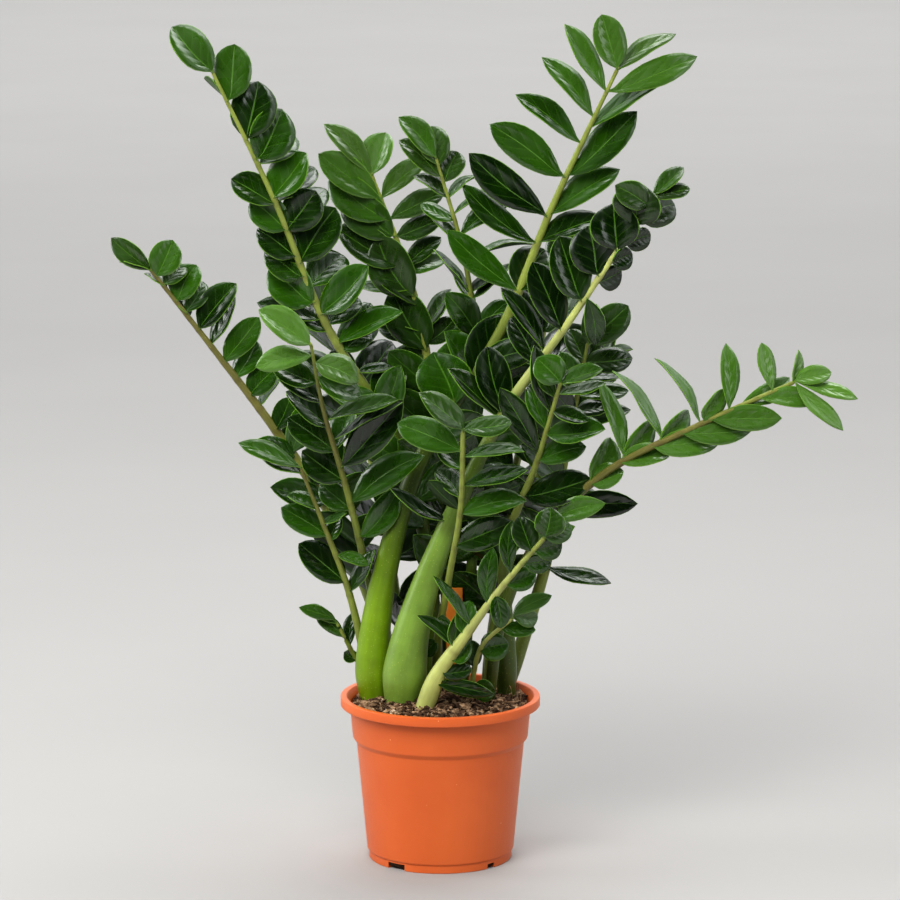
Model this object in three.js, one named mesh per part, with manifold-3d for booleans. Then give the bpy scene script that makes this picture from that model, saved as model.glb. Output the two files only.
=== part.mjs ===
// A ZZ plant in a round plastic nursery pot.
// Millimetres, +Z up. Seen from the front, X runs to the right and Y to the back.
// The origin is the middle of the pot's underside, on the ground.
import * as THREE from "three";
import { mergeGeometries, mergeVertices } from "three/addons/utils/BufferGeometryUtils.js";
import Module from "manifold-3d";

const wasm = await Module();
wasm.setup();

// ---- Driving dimensions ----

const pot = {
  height: 141,
  rimRadius: 85,
  rimBand: 8, // height of the turned-down edge of the rim
  rimEdge: 1.5, // thickness of that edge
  mouthRadius: 79.8, // inner edge of the rim's flat top
  mouthDepth: 5.5, // how far the mouth slopes in to the wall
  collarRadius: 77.4, // under the rim
  collarFoot: 74.6, // where the collar steps in to the body
  collarHeight: 35.5, // from the top of the pot down to that step
  bodyRadius: 71.5, // just under the step
  bodyFoot: 62.6, // just above the foot
  footRadius: 61,
  footHeight: 7.6,
  wall: 1.4,
  floor: 1.6,
  round: 1.4, // soft edges of the rim and the foot
  sides: 30,
};

// Drain notches in the edge of the foot: their angle from the front, width and height.
const drainHoles = [
  { angle: -38, width: 17.5, height: 5.5 },
  { angle: 45, width: 8, height: 4.4 },
  { angle: 142, width: 17.5, height: 5.5 },
  { angle: 225, width: 8, height: 4.4 },
];
const drainDepth = 8;

const soil = { edgeHeight: 134, crown: 6, relief: 1.6, rings: 3 };

const label = {
  position: [12, 47],
  width: 14,
  thickness: 0.9,
  top: 224,
  point: 108, // height of its buried tip
  shoulder: 128, // height where the sides begin to run in to the tip
};

const gap = 0.3; // between pieces that touch
const leafGap = 0.5; // kept between the leaves of two fronds
const bladeThickness = 1.5; // along the midrib
const blade = {
  // from the stem to the tip: share of the length, of the half width, and of the thickness
  rows: [
    { along: 0, width: 0, thick: 0 },
    { along: 0.1, width: 0.12, thick: 1 },
    { along: 0.4, width: 0.92, thick: 1 },
    { along: 0.74, width: 0.8, thick: 0.8 },
    { along: 1, width: 0, thick: 0 },
  ],
  fold: 0.22, // rise of the edges over the midrib, for each mm of half width
  arch: 0.07, // droop of the tip, as a share of the length
};

// One frond: a swollen petiole that grows out of the soil and narrows to a rachis with rows of leaves.
// route: from the buried end to the tip. radii: of the swollen base, of the slender stem and at the tip.
// face: the way its upper side looks.
// leaves: single leaves, each with its share of the route, its angle around the rachis from the upper side,
// its spread off the rachis, its twist towards the tip, its length and its width.
// rows: leaves in a row. from and to are shares of the route, around and spread are those of the first and
// the last leaf, length and width are those of the largest.
// end: a leaf at the tip.
const fronds = [
  {
    name: "frond_right_tall",
    route: [
      [-55, 12, 102], [-57, 12, 180], [-41, 14, 270], [-12, 22, 350], [50, 31, 448], [97, 35, 561],
      [149, 19, 675],
    ],
    radii: [19.5, 8.5, 1.4],
    face: [-0.37, -0.84, -0.4],
    leaves: [
      [0.995, -96, 42, 26, 48, 28], [0.99, 139, 38, 33, 63, 20], [0.96, 114, 34, 35, 83, 25],
      [0.9, 118, 30, 43, 83, 23], [0.83, 119, 24, 19, 82, 30], [0.77, 106, 32, 28, 73, 27],
      [0.73, 102, 42, 33, 60, 25], [0.96, -90, 56, 53, 67, 23], [0.92, -88, 62, 49, 67, 22],
      [0.88, -83, 75, 48, 69, 22], [0.83, -81, 79, 21, 78, 30], [0.77, -79, 73, 18, 86, 30],
      [0.73, -78, 71, 36, 81, 22], [0.66, -78, 71, 24, 80, 25], [0.66, 162, 18, 1, 45, 37],
      [0.53, -81, 4, -5, 60, 36], [0.48, -81, 56, 3, 48, 47],
    ],
    rows: [
      {
        from: 0.42, to: 0.54, count: 2, around: [58, 58], spread: [45, 40],
        length: 70, width: 32, twist: 15,
      },
    ],
  },
  {
    name: "frond_right_arching",
    route: [
      [-35, -11, 106], [-25, -12, 195], [6, -14, 289], [55, -20, 391], [108, -33, 469],
      [177, -55, 577],
    ],
    radii: [27, 7.5, 1.6],
    face: [-0.33, 0.68, 0.65],
    leaves: [
      [0.73, 37, 58, -167, 63, 30], [0.79, 36, 54, -160, 58, 35], [0.84, 33, 48, -155, 43, 40],
      [0.89, 36, 39, -151, 39, 41], [0.94, 36, 21, -142, 34, 41], [0.98, 27, 88, 159, 32, 23],
      [0.995, -124, 44, 87, 31, 18], [0.995, -77, 33, 100, 36, 16], [0.95, -86, 49, 148, 38, 30],
      [0.91, -108, 54, 167, 24, 20], [0.87, -103, 48, 164, 20, 20], [0.83, -93, 47, 153, 24, 22],
      [0.8, -140, 134, -156, 43, 18], [0.68, 40, 67, 153, 67, 18], [0.66, 18, 70, -163, 48, 25],
      [0.56, 22, 45, -150, 61, 30], [0.55, 50, 68, 147, 62, 22], [0.36, 55, 76, 139, 59, 15],
    ],
    rows: [
      {
        from: 0.42, to: 0.56, count: 2, around: [-65, -65], spread: [60, 56],
        length: 50, width: 24, twist: 15,
      },
    ],
  },
  {
    name: "frond_right_inner",
    route: [[57, 18, 107], [56, 16, 185], [56, 0, 271], [81, -24, 347], [100, -53, 420]],
    radii: [15, 6, 1.4],
    face: [-0.15, 0.7, 0.69],
    leaves: [
      [0.995, 59, 57, 157, 29, 27], [0.99, -98, 49, 97, 38, 18], [0.96, -95, 64, 87, 42, 17],
      [0.91, -120, 84, 115, 31, 17], [0.84, -114, 63, 120, 51, 25], [0.76, -112, 52, 121, 43, 22],
      [0.65, -122, 47, 123, 60, 30], [0.95, 31, 53, 169, 30, 13], [0.9, 29, 45, 174, 60, 20],
      [0.85, 31, 53, 169, 44, 17], [0.78, 44, 48, 169, 66, 23],
    ],
    rows: [
      {
        from: 0.42, to: 0.58, count: 3, around: [65, 65], spread: [50, 45],
        length: 54, width: 24, twist: 15,
      },
    ],
  },
  {
    name: "frond_right_behind",
    route: [[50, 36, 103], [62, 40, 150], [89, 56, 236], [102, 65, 304], [114, 65, 371], [126, 53, 438]],
    radii: [7, 7.5, 1.2],
    face: [0.05, -0.84, 0.54],
    leaves: [
      [0.99, 117, 41, 21, 48, 29], [0.94, 99, 72, 40, 42, 24], [0.9, 103, 76, 51, 33, 19],
      [0.85, 103, 75, 63, 45, 19], [0.81, 97, 71, 45, 31, 19], [0.77, 104, 64, 51, 54, 21],
      [0.995, 177, 26, 9, 34, 20], [0.94, -135, 48, 25, 33, 20], [0.55, 82, 73, 19, 72, 24],
      [0.57, 92, 73, 24, 38, 22], [0.41, 88, 82, 41, 58, 19], [0.86, -132, 48, 24, 40, 21],
    ],
    rows: [
      {
        from: 0.46, to: 0.8, count: 5, around: [-55, -55], spread: [56, 50],
        length: 56, width: 28, twist: 10,
      },
    ],
  },
  {
    name: "frond_right_level",
    route: [[40, 0, 106], [50, -7, 200], [82, -17, 278], [137, -29, 338], [213, -43, 381], [296, -47, 420]],
    radii: [6, 5.6, 1.6],
    face: [-0.6, -0.72, -0.35],
    leaves: [
      [0.8, -102, 91, 65, 66, 20], [0.72, -102, 93, 65, 72, 22], [0.64, -102, 74, 53, 70, 20],
      [0.86, -107, 66, 25, 57, 17], [0.95, -106, 77, 42, 42, 17], [0.99, -111, 46, 29, 28, 12],
      [0.92, 76, 25, 41, 53, 18], [0.82, 71, 14, 30, 61, 23], [0.76, 82, 19, 31, 58, 23],
      [0.7, 89, 20, 31, 55, 25], [0.63, 96, 21, 32, 42, 22], [0.56, 109, 16, 18, 30, 23],
      [0.88, 178, 22, 35, 55, 18], [0.81, -149, 34, 11, 32, 17], [0.71, -164, 33, 11, 43, 20],
      [0.63, -154, 36, 18, 49, 22], [0.56, -134, 35, 23, 44, 25], [0.995, 84, 38, 55, 55, 15],
      [0.995, 118, 25, 36, 33, 17], [0.995, 68, 56, 44, 57, 18],
    ],
    rows: [
      {
        from: 0.38, to: 0.46, count: 2, around: [54, 54], spread: [34, 30],
        length: 60, width: 24, twist: 0,
      },
    ],
  },
  {
    name: "frond_front_low",
    route: [[-24, -35, 106], [-3, -38, 165], [24, -50, 208], [55, -72, 255], [87, -100, 299]],
    radii: [16.8, 4.9, 1.8],
    face: [-0.17, 0.6, 0.78],
    leaves: [
      [0.995, 6, 36, -148, 25, 26], [0.91, 30, 64, 174, 31, 22], [0.78, 21, 43, -168, 46, 15],
      [0.62, 27, 33, -154, 48, 17], [0.5, 44, 64, 144, 54, 13], [0.54, 0, 42, 147, 32, 22],
      [0.39, 49, 75, 136, 42, 13], [0.99, -78, 46, 135, 26, 20], [0.92, -91, 53, 135, 25, 20],
      [0.85, -101, 59, 141, 25, 18], [0.73, -90, 49, 137, 28, 20], [0.67, -163, 122, -161, 28, 17],
    ],
  },
  {
    name: "frond_front_upright",
    route: [[-2, 39, 104], [-3, 13, 177], [7, -21, 245], [17, -57, 314], [19, -85, 386]],
    radii: [5, 3.8, 2],
    face: [0.08, 0.77, 0.63],
    leaves: [
      [0.995, 89, 42, 140, 48, 23], [0.995, -98, 70, 105, 43, 21], [0.91, -96, 67, 102, 52, 17],
      [0.82, -96, 65, 116, 60, 20], [0.73, -94, 59, 133, 57, 23], [0.62, -90, 52, 136, 53, 27],
      [0.93, 73, 75, 139, 61, 28], [0.87, 40, 66, 140, 35, 20], [0.78, 38, 75, 134, 38, 20],
    ],
    rows: [
      {
        from: 0.5, to: 0.74, count: 2, around: [75, 75], spread: [59, 55],
        length: 44, width: 20, twist: 15,
      },
    ],
  },
  {
    name: "frond_left_front",
    route: [
      [-46, 38, 104], [-52, 38, 184], [-66, 19, 259], [-81, -12, 329], [-97, -50, 396],
      [-106, -93, 460],
    ],
    radii: [6, 4.6, 1.2],
    face: [0, 0.5, 0.87],
    leaves: [
      [0.99, 71, 51, 127, 52, 26], [0.96, 107, 84, 109, 48, 21], [0.94, -108, 101, 109, 39, 26],
      [0.9, -96, 119, 117, 41, 23], [0.88, 74, 66, 117, 42, 26], [0.82, 67, 51, 117, 50, 23],
      [0.75, 65, 46, 118, 47, 25], [0.68, 72, 47, 122, 50, 27], [0.6, 74, 47, 134, 44, 30],
      [0.52, 61, 51, 135, 36, 25], [0.77, -79, 79, 92, 63, 20], [0.71, -67, 75, 87, 68, 17],
      [0.64, -66, 56, 154, 80, 32], [0.54, -73, 62, 146, 74, 29], [0.45, -68, 51, 155, 54, 24],
      [0.68, -33, 70, 136, 42, 23],
    ],
    rows: [
      {
        from: 0.3, to: 0.42, count: 3, around: [65, 65], spread: [50, 45],
        length: 60, width: 26, twist: 15,
      },
    ],
  },
  {
    name: "frond_left_tall",
    route: [[-7, 57, 104], [-9, 60, 230], [-34, 54, 345], [-96, 41, 452], [-140, 22, 564], [-190, 1, 674]],
    radii: [9, 6.8, 1.3],
    face: [0.12, -0.96, 0.27],
    leaves: [
      [0.995, -154, 23, 15, 52, 32], [0.95, 108, 38, 24, 49, 33], [0.89, 103, 43, 19, 51, 39],
      [0.86, 92, 48, 20, 48, 39], [0.8, 87, 59, 31, 47, 35], [0.95, -169, 47, 65, 32, 23],
      [0.85, 119, 90, 54, 51, 28], [0.79, 122, 82, 60, 56, 29], [0.79, -123, 40, 29, 44, 27],
      [0.75, -122, 32, 11, 40, 29], [0.71, -119, 34, 13, 41, 30], [0.68, -118, 35, 13, 40, 30],
      [0.64, -119, 32, 6, 49, 36], [0.61, -126, 53, 47, 62, 22], [0.75, 93, 46, 25, 42, 35],
      [0.76, 118, 80, 49, 57, 27], [0.7, 89, 54, 26, 56, 39], [0.66, 113, 68, 42, 47, 32],
      [0.62, 78, 64, 35, 60, 31], [0.6, 111, 80, 35, 40, 31], [0.57, 74, 79, 53, 62, 26],
      [0.59, -173, 38, 12, 33, 22], [0.52, 77, 106, 62, 31, 14], [0.48, 83, 82, 26, 36, 29],
    ],
    rows: [
      {
        from: 0.28, to: 0.46, count: 3, around: [-60, -60], spread: [50, 45],
        length: 62, width: 30, twist: 20,
      },
      {
        from: 0.32, to: 0.45, count: 2, around: [55, 55], spread: [55, 50],
        length: 62, width: 32, twist: 20,
      },
    ],
  },
  {
    name: "frond_far_left",
    route: [
      [-34, 50, 103], [-53, 58, 193], [-89, 61, 276], [-138, 58, 355], [-192, 48, 430],
      [-245, 30, 503],
    ],
    radii: [9, 7.6, 1.4],
    face: [0.15, -0.89, 0.43],
    leaves: [
      [0.995, -153, 20, -3, 44, 19], [0.99, -129, 35, 55, 30, 17], [0.98, 77, 62, 31, 34, 27],
      [0.95, -174, 33, 54, 24, 17], [0.96, 95, 87, 43, 28, 20], [0.92, 75, 68, 36, 36, 29],
      [0.89, 101, 74, 46, 35, 20], [0.88, 170, 30, -41, 21, 17], [0.85, 75, 66, 35, 51, 27],
      [0.81, 82, 63, 64, 47, 20], [0.77, 72, 73, 36, 49, 24], [0.73, 91, 67, 41, 38, 22],
      [0.69, 71, 77, 28, 32, 24], [0.66, 83, 70, 74, 33, 17], [0.61, 75, 58, 30, 31, 19],
      [0.58, 90, 66, 28, 28, 19],
    ],
    rows: [
      {
        from: 0.34, to: 0.55, count: 3, around: [-60, -60], spread: [45, 40],
        length: 52, width: 26, twist: 20,
      },
      {
        from: 0.34, to: 0.56, count: 4, around: [50, 50], spread: [60, 55],
        length: 52, width: 28, twist: 15,
      },
    ],
  },
  {
    name: "frond_middle_back",
    route: [[7, 65, 101], [6, 70, 198], [3, 74, 295], [-7, 78, 392], [-26, 83, 486], [-59, 90, 577]],
    radii: [6, 7.8, 1.4],
    face: [0.09, -0.99, 0.11],
    leaves: [
      [0.995, -109, 21, 9, 61, 21], [0.995, 110, 39, 26, 40, 29], [0.95, -93, 23, 9, 67, 29],
      [0.91, -93, 32, 10, 65, 33], [0.88, -93, 27, 10, 56, 34], [0.83, -100, 43, 11, 66, 33],
      [0.77, -75, 10, 2, 60, 39], [0.75, -74, 25, 39, 49, 22], [0.67, -85, 18, 8, 60, 38],
      [0.95, 84, 66, 26, 52, 22], [0.91, 83, 80, 31, 53, 22], [0.88, 82, 89, 26, 42, 22],
      [0.82, 90, 63, 27, 40, 19], [0.78, -108, 66, 54, 50, 14], [0.68, -116, 61, 59, 46, 19],
      [0.7, -123, 59, 64, 41, 15], [0.81, 102, 82, 27, 36, 21],
    ],
    rows: [
      {
        from: 0.28, to: 0.6, count: 5, around: [-60, -60], spread: [60, 45],
        length: 66, width: 34, twist: 15,
      },
      {
        from: 0.3, to: 0.62, count: 5, around: [58, 58], spread: [70, 60],
        length: 64, width: 32, twist: 15,
      },
    ],
  },
  {
    name: "frond_middle_tall",
    route: [[18, 60, 103], [24, 60, 202], [31, 61, 303], [32, 58, 403], [22, 51, 502], [-4, 38, 598]],
    radii: [6, 6, 1.2],
    face: [0.2, -0.97, 0.11],
    leaves: [
      [0.995, -126, 26, 12, 47, 22], [0.98, 156, 29, -2, 37, 27], [0.96, -122, 30, 19, 48, 22],
      [0.92, -127, 36, 41, 36, 17], [0.88, -116, 49, 51, 33, 17], [0.95, 116, 52, 36, 31, 24],
      [0.92, 93, 68, 70, 34, 15], [0.89, 93, 69, 80, 41, 14], [0.85, 82, 65, 60, 53, 19],
      [0.84, -135, 36, 39, 40, 17], [0.74, -120, 27, 71, 54, 17], [0.81, 87, 81, 83, 62, 15],
      [0.75, 100, 60, 69, 29, 15], [0.81, 98, 82, 48, 22, 19], [0.72, -153, 31, 43, 42, 17],
      [0.74, 101, 59, 64, 48, 17],
    ],
    rows: [
      {
        from: 0.3, to: 0.68, count: 6, around: [-50, -50], spread: [62, 45],
        length: 62, width: 32, twist: 15,
      },
      {
        from: 0.3, to: 0.66, count: 5, around: [50, 50], spread: [68, 55],
        length: 60, width: 30, twist: 15,
      },
    ],
  },
  {
    name: "frond_left_low",
    route: [[-58, 31, 108], [-66, 31, 169], [-79, 14, 231], [-98, -5, 288], [-117, -28, 343]],
    radii: [4.5, 4.4, 1.4],
    face: [-0.1, -0.9, 0.4],
    leaves: [
      [0.995, -109, 44, 72, 56, 20], [0.97, -122, 49, 72, 40, 18], [0.82, -113, 48, 62, 29, 17],
      [0.71, -117, 42, 33, 47, 24], [0.52, -118, 37, 26, 53, 29], [0.76, 91, 81, 79, 22, 12],
      [0.69, 124, 52, 30, 23, 15], [0.63, 67, 111, 71, 28, 14], [0.48, 108, 42, 46, 45, 17],
    ],
  },
  {
    name: "shoot_left",
    route: [[-53, 43, 107], [-60, 41, 140], [-75, 34, 169], [-89, 24, 199]],
    radii: [3.4, 3.2, 1.4],
    face: [-0.4, -0.3, 0.87],
    leaves: [
      [0.995, -134, 45, 38, 35, 17], [0.98, -160, 41, 27, 33, 17], [0.84, 75, 37, 117, 31, 19],
      [0.72, 110, 42, 52, 31, 12], [0.59, -166, 32, -17, 13, 12],
    ],
  },
  {
    name: "shoot_front",
    route: [[30, -9, 106], [27, -12, 149], [35, -26, 189], [61, -46, 218]],
    radii: [3.4, 3.2, 1.4],
    face: [0.25, -0.75, 0.61],
    leaves: [
      [0.63, 92, 51, 34, 25, 25], [0.32, 45, 98, 33, 20, 19], [0.49, -163, 23, -2, 23, 15],
      [0.995, -179, 31, -2, 38, 15], [0.995, 160, 49, 16, 24, 15], [0.87, 146, 47, 19, 30, 15],
    ],
  },
  {
    name: "frond_back_left",
    route: [[-22, 59, 104], [-30, 69, 152], [-52, 112, 285], [-76, 150, 370], [-104, 195, 445]],
    radii: [5.5, 5.5, 1.5],
    face: [0.3, -0.5, 0.8],
    rows: [
      {
        from: 0.22, to: 0.96, count: 8, around: [-65, -65], spread: [64, 44],
        length: 68, width: 36, twist: 20,
      },
      {
        from: 0.27, to: 0.97, count: 8, around: [65, 65], spread: [64, 44],
        length: 68, width: 36, twist: 20,
      },
    ],
    end: { around: 0, spread: 8, length: 54, width: 28 },
  },
  {
    name: "frond_back_right",
    route: [[34, 50, 104], [41, 61, 152], [62, 106, 295], [80, 145, 385], [102, 190, 470]],
    radii: [5.5, 5.5, 1.5],
    face: [-0.2, -0.6, 0.75],
    rows: [
      {
        from: 0.24, to: 0.96, count: 8, around: [-65, -65], spread: [64, 44],
        length: 68, width: 36, twist: 20,
      },
      {
        from: 0.29, to: 0.97, count: 8, around: [65, 65], spread: [64, 44],
        length: 68, width: 36, twist: 20,
      },
    ],
    end: { around: 0, spread: 8, length: 54, width: 28 },
  },
  {
    name: "frond_back_side",
    route: [[38, 40, 104], [46, 48, 190], [66, 66, 270], [96, 92, 340], [134, 122, 400]],
    radii: [5, 5, 1.5],
    face: [-0.5, -0.5, 0.8],
    rows: [
      {
        from: 0.3, to: 0.96, count: 6, around: [-65, -65], spread: [64, 44],
        length: 62, width: 32, twist: 20,
      },
      {
        from: 0.35, to: 0.97, count: 6, around: [65, 65], spread: [64, 44],
        length: 62, width: 32, twist: 20,
      },
    ],
    end: { around: 0, spread: 8, length: 50, width: 26 },
  },
];

const jitter = { spread: 4, around: 6, twist: 8, length: 0.06 };

// What a leaf may give way by: extra spread and turn around the rachis in degrees, tried in this order.
const bends = [
  [0, 0], [9, 0], [-9, 0], [0, 11], [0, -11], [10, 12], [-10, 12], [10, -12], [-10, -12],
  [20, 0], [-20, 0], [0, 24], [0, -24], [20, 20], [-20, 20], [20, -20], [-20, -20], [0, 38], [0, -38],
];
const sizes = [1, 0.85, 0.7];

const colours = {
  pot: 0xc4532c,
  soil: 0x3b2a1f,
  label: 0xd9772b,
  leaf: 0x1f5a1c,
};

// ---- Helpers ----

const radians = THREE.MathUtils.degToRad;
const lerp = THREE.MathUtils.lerp;

// Numbers from 0 to 1 that are the same on every run.
function seededRandom(seed) {
  let state = seed;
  return () => {
    state = (state * 16807) % 2147483647;
    return state / 2147483647;
  };
}

// Merges shared corners and drops the triangles that have shrunk to a line.
function toSolid(geometry) {
  const plain = geometry.clone();
  plain.deleteAttribute("normal");
  plain.deleteAttribute("uv");
  const merged = mergeVertices(plain, 1e-4);
  const index = merged.index.array;
  const corners = [];
  for (let i = 0; i < index.length; i += 3) {
    const [a, b, c] = [index[i], index[i + 1], index[i + 2]];
    if (a !== b && b !== c && c !== a) corners.push(a, b, c);
  }
  return new wasm.Manifold(
    new wasm.Mesh({
      numProp: 3,
      vertProperties: merged.attributes.position.array,
      triVerts: Uint32Array.from(corners),
    }),
  );
}

function toGeometry(solid) {
  const mesh = solid.getMesh();
  const geometry = new THREE.BufferGeometry();
  geometry.setAttribute("position", new THREE.BufferAttribute(mesh.vertProperties, 3));
  geometry.setIndex(new THREE.BufferAttribute(mesh.triVerts, 1));
  geometry.computeVertexNormals();
  return geometry;
}

// Moves every vertex of a geometry to where a rule puts it.
function reshape(geometry, rule) {
  const position = geometry.getAttribute("position");
  const point = new THREE.Vector3();
  for (let i = 0; i < position.count; i++) {
    point.copy(rule(point.fromBufferAttribute(position, i)));
    position.setXYZ(i, point.x, point.y, point.z);
  }
  return geometry;
}

function lathe(outline, sides) {
  const points = outline.map(([radius, height]) => new THREE.Vector2(radius, height));
  return new THREE.LatheGeometry(points, sides).rotateX(Math.PI / 2);
}

// ---- Pot ----

function makePot() {
  const { height, rimRadius, rimBand, rimEdge, collarRadius, wall, floor, round } = pot;
  const step = height - pot.collarHeight;
  const bandFoot = height - rimBand;
  const outside = [
    [0, 0],
    [pot.footRadius - round, 0],
    [pot.footRadius, round],
    [pot.footRadius, pot.footHeight - 1],
    [pot.bodyFoot, pot.footHeight + 0.6],
    [pot.bodyRadius, step - 4],
    [pot.collarFoot, step],
    [collarRadius, bandFoot],
    [collarRadius, height - pot.mouthDepth],
    [pot.mouthRadius + rimEdge, height - rimEdge],
    [rimRadius - rimEdge, height - rimEdge],
    [rimRadius - rimEdge, bandFoot],
    [rimRadius, bandFoot],
    [rimRadius, height - round],
    [rimRadius - round, height],
  ];
  const inside = [
    [pot.mouthRadius, height],
    [collarRadius - wall, height - pot.mouthDepth],
    [pot.collarFoot - wall, step],
    [pot.bodyRadius - wall, step - 4],
    [pot.footRadius - wall, floor],
    [0, floor],
  ];
  let solid = toSolid(lathe([...outside, ...inside], pot.sides));
  for (const hole of drainHoles) {
    const cutter = new THREE.BoxGeometry(hole.width, 2 * drainDepth, 2 * hole.height);
    cutter.translate(0, -pot.footRadius, 0);
    cutter.rotateZ(radians(hole.angle));
    solid = solid.subtract(toSolid(cutter));
  }
  return solid;
}

// ---- Soil ----

function makeSoil(cutters) {
  const { edgeHeight, crown, relief, rings } = soil;
  const step = pot.height - pot.collarHeight;
  const inset = pot.wall + gap;
  const flare = (pot.collarRadius - pot.collarFoot) / (pot.height - step);
  const edge = pot.collarFoot - inset + flare * (edgeHeight - step);
  const outline = [
    [0, pot.floor + gap],
    [pot.footRadius - inset, pot.floor + gap],
    [pot.bodyRadius - inset, step - 4],
    [pot.collarFoot - inset, step],
    [edge, edgeHeight],
  ];
  for (let ring = rings - 1; ring >= 0; ring--) {
    const share = ring / rings;
    outline.push([edge * share, edgeHeight + 1 + crown * (1 - share * share)]);
  }
  const crumbs = seededRandom(811);
  const lumps = Array.from({ length: 7 }, () => {
    return { a: 0.05 + 0.22 * crumbs(), b: 0.05 + 0.22 * crumbs(), c: 6 * crumbs() };
  });
  const body = reshape(lathe(outline, pot.sides), (point) => {
    if (point.z <= edgeHeight) return point;
    const waves = lumps.map(({ a, b, c }) => Math.sin(a * point.x + c) * Math.cos(b * point.y - c));
    const lift = waves.reduce((sum, wave) => sum + wave, 0);
    point.z += (relief * lift) / Math.sqrt(lumps.length);
    return point;
  });
  return cutters.reduce((solid, cutter) => solid.subtract(cutter), toSolid(body));
}

// ---- Plant label: a plain stick with a pointed foot ----

function makeLabel(grow = 0) {
  const half = label.width / 2 + grow;
  const outline = new THREE.Shape();
  outline.moveTo(0, label.point - grow);
  outline.lineTo(half, label.shoulder);
  outline.lineTo(half, label.top - 3);
  outline.quadraticCurveTo(half, label.top, half - 3, label.top);
  outline.lineTo(3 - half, label.top);
  outline.quadraticCurveTo(-half, label.top, -half, label.top - 3);
  outline.lineTo(-half, label.shoulder);
  const thickness = label.thickness + 2 * grow;
  const settings = { depth: thickness, bevelEnabled: false, curveSegments: 3 };
  const plate = new THREE.ExtrudeGeometry(outline, settings);
  plate.rotateX(Math.PI / 2);
  plate.translate(label.position[0], label.position[1] + thickness / 2, 0);
  return toSolid(plate);
}

// ---- Fronds ----

const buried = 28; // length of the stem under the soil
const neck = 0.6; // width of a swollen base at the soil, as a share of its widest

// Tangent, upper side and the direction across, at a share of the way along a frond.
function frameAt(frond, share) {
  const along = frond.curve.getTangentAt(share);
  const face = new THREE.Vector3(...frond.face);
  face.addScaledVector(along, -face.dot(along)).normalize();
  return { along, face, across: along.clone().cross(face) };
}

function stemRadius(frond, share) {
  const [base, stem, tip] = frond.radii;
  const rest = 1 - share;
  const smooth = lerp(tip, stem, rest) + (base - stem) * rest ** 4;
  const swell = THREE.MathUtils.smoothstep(share * frond.length, buried - 8, buried + 34);
  return smooth * lerp(neck, 1, swell);
}

function makeStem(frond, grow = 0) {
  const steps = Math.round(frond.length / 70) + 4;
  const tube = new THREE.CylinderGeometry(1, 1, 1, frond.radii[0] > 10 ? 8 : 6, steps);
  reshape(tube, ({ x, y, z }) => {
    const share = y + 0.5;
    const { along, face, across } = frameAt(frond, share);
    const radius = stemRadius(frond, share) + grow;
    const end = Math.round(2 * y) * (Math.abs(y) === 0.5 ? grow : 0);
    return frond.curve
      .getPointAt(share)
      .addScaledVector(across, radius * x)
      .addScaledVector(face, radius * z)
      .addScaledVector(along, end);
  });
  return toSolid(tube);
}

// The single leaves of a frond.
function planSingles(frond) {
  return (frond.leaves ?? []).map(([share, around, spread, twist, length, width]) => {
    return { share, around, spread, twist, length, width };
  });
}

// The rows of leaves of a frond, as they would stand if nothing were in their way.
function planRows(frond, seed) {
  const random = seededRandom(seed);
  const about = (range) => range * (2 * random() - 1);
  const plans = (frond.rows ?? []).flatMap((row) => {
    const { from, to, count } = row;
    return Array.from({ length: count }, (_, i) => {
      const rank = i / Math.max(count - 1, 1);
      const fullness = 0.78 + 0.22 * Math.sin(Math.PI * (0.1 + 0.8 * rank));
      return {
        share: lerp(from, to, rank),
        spread: lerp(...row.spread, rank) + about(jitter.spread),
        around: lerp(...row.around, rank) + about(jitter.around),
        twist: row.twist + about(jitter.twist),
        length: row.length * fullness * (1 + about(jitter.length)),
        width: row.width * fullness,
      };
    });
  });
  plans.sort((a, b) => a.share - b.share);
  if (frond.end) plans.push({ ...frond.end, share: 0.995, twist: 0 });
  return plans;
}

// Places a leaf: where it starts, which way it points, and which way its upper side looks.
function poseLeaf(frond, plan, [extraSpread, extraTurn], size) {
  const { along, face, across } = frameAt(frond, plan.share);
  const spread = radians(plan.spread + extraSpread);
  const turn = radians(plan.around + extraTurn * Math.sign(plan.around || 1));
  const twist = radians(plan.twist);
  const outward = face.clone().multiplyScalar(Math.cos(turn)).addScaledVector(across, Math.sin(turn));
  const direction = outward.multiplyScalar(Math.sin(spread)).addScaledVector(along, Math.cos(spread));
  const upper = face.clone().addScaledVector(direction, -face.dot(direction)).normalize();
  const forward = along.clone().addScaledVector(direction, -along.dot(direction));
  forward.addScaledVector(upper, -forward.dot(upper)).normalize();
  upper.multiplyScalar(Math.cos(twist)).addScaledVector(forward, Math.sin(twist));
  return {
    base: frond.curve.getPointAt(plan.share),
    direction,
    upper,
    sideways: direction.clone().cross(upper),
    length: plan.length * size,
    width: plan.width * size,
  };
}

function makeBlade(leaf, grow = 0) {
  const last = blade.rows.length - 1;
  const faces = [1, -1].map((side) => {
    const sheet = new THREE.PlaneGeometry(2, last, 2, last);
    reshape(sheet, ({ x, y }) => {
      const row = blade.rows[Math.round(y + last / 2)];
      const open = row.width > 0 ? grow : 0;
      const reach = (leaf.width / 2) * row.width + open;
      const thickness = (bladeThickness * row.thick) / 2 + open;
      const along = leaf.length * row.along + (row.along === 1 ? grow : 0);
      const height = blade.fold * Math.abs(x) * reach - blade.arch * leaf.length * row.along ** 2;
      return leaf.base
        .clone()
        .addScaledVector(leaf.direction, along)
        .addScaledVector(leaf.sideways, x * reach)
        .addScaledVector(leaf.upper, height + (x === 0 ? side * thickness : 0));
    });
    if (side < 0) sheet.index.array.reverse();
    return sheet;
  });
  return toSolid(mergeGeometries(faces));
}

function boxOf(solid) {
  const { min, max } = solid.boundingBox();
  return new THREE.Box3(new THREE.Vector3(...min), new THREE.Vector3(...max));
}

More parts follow.
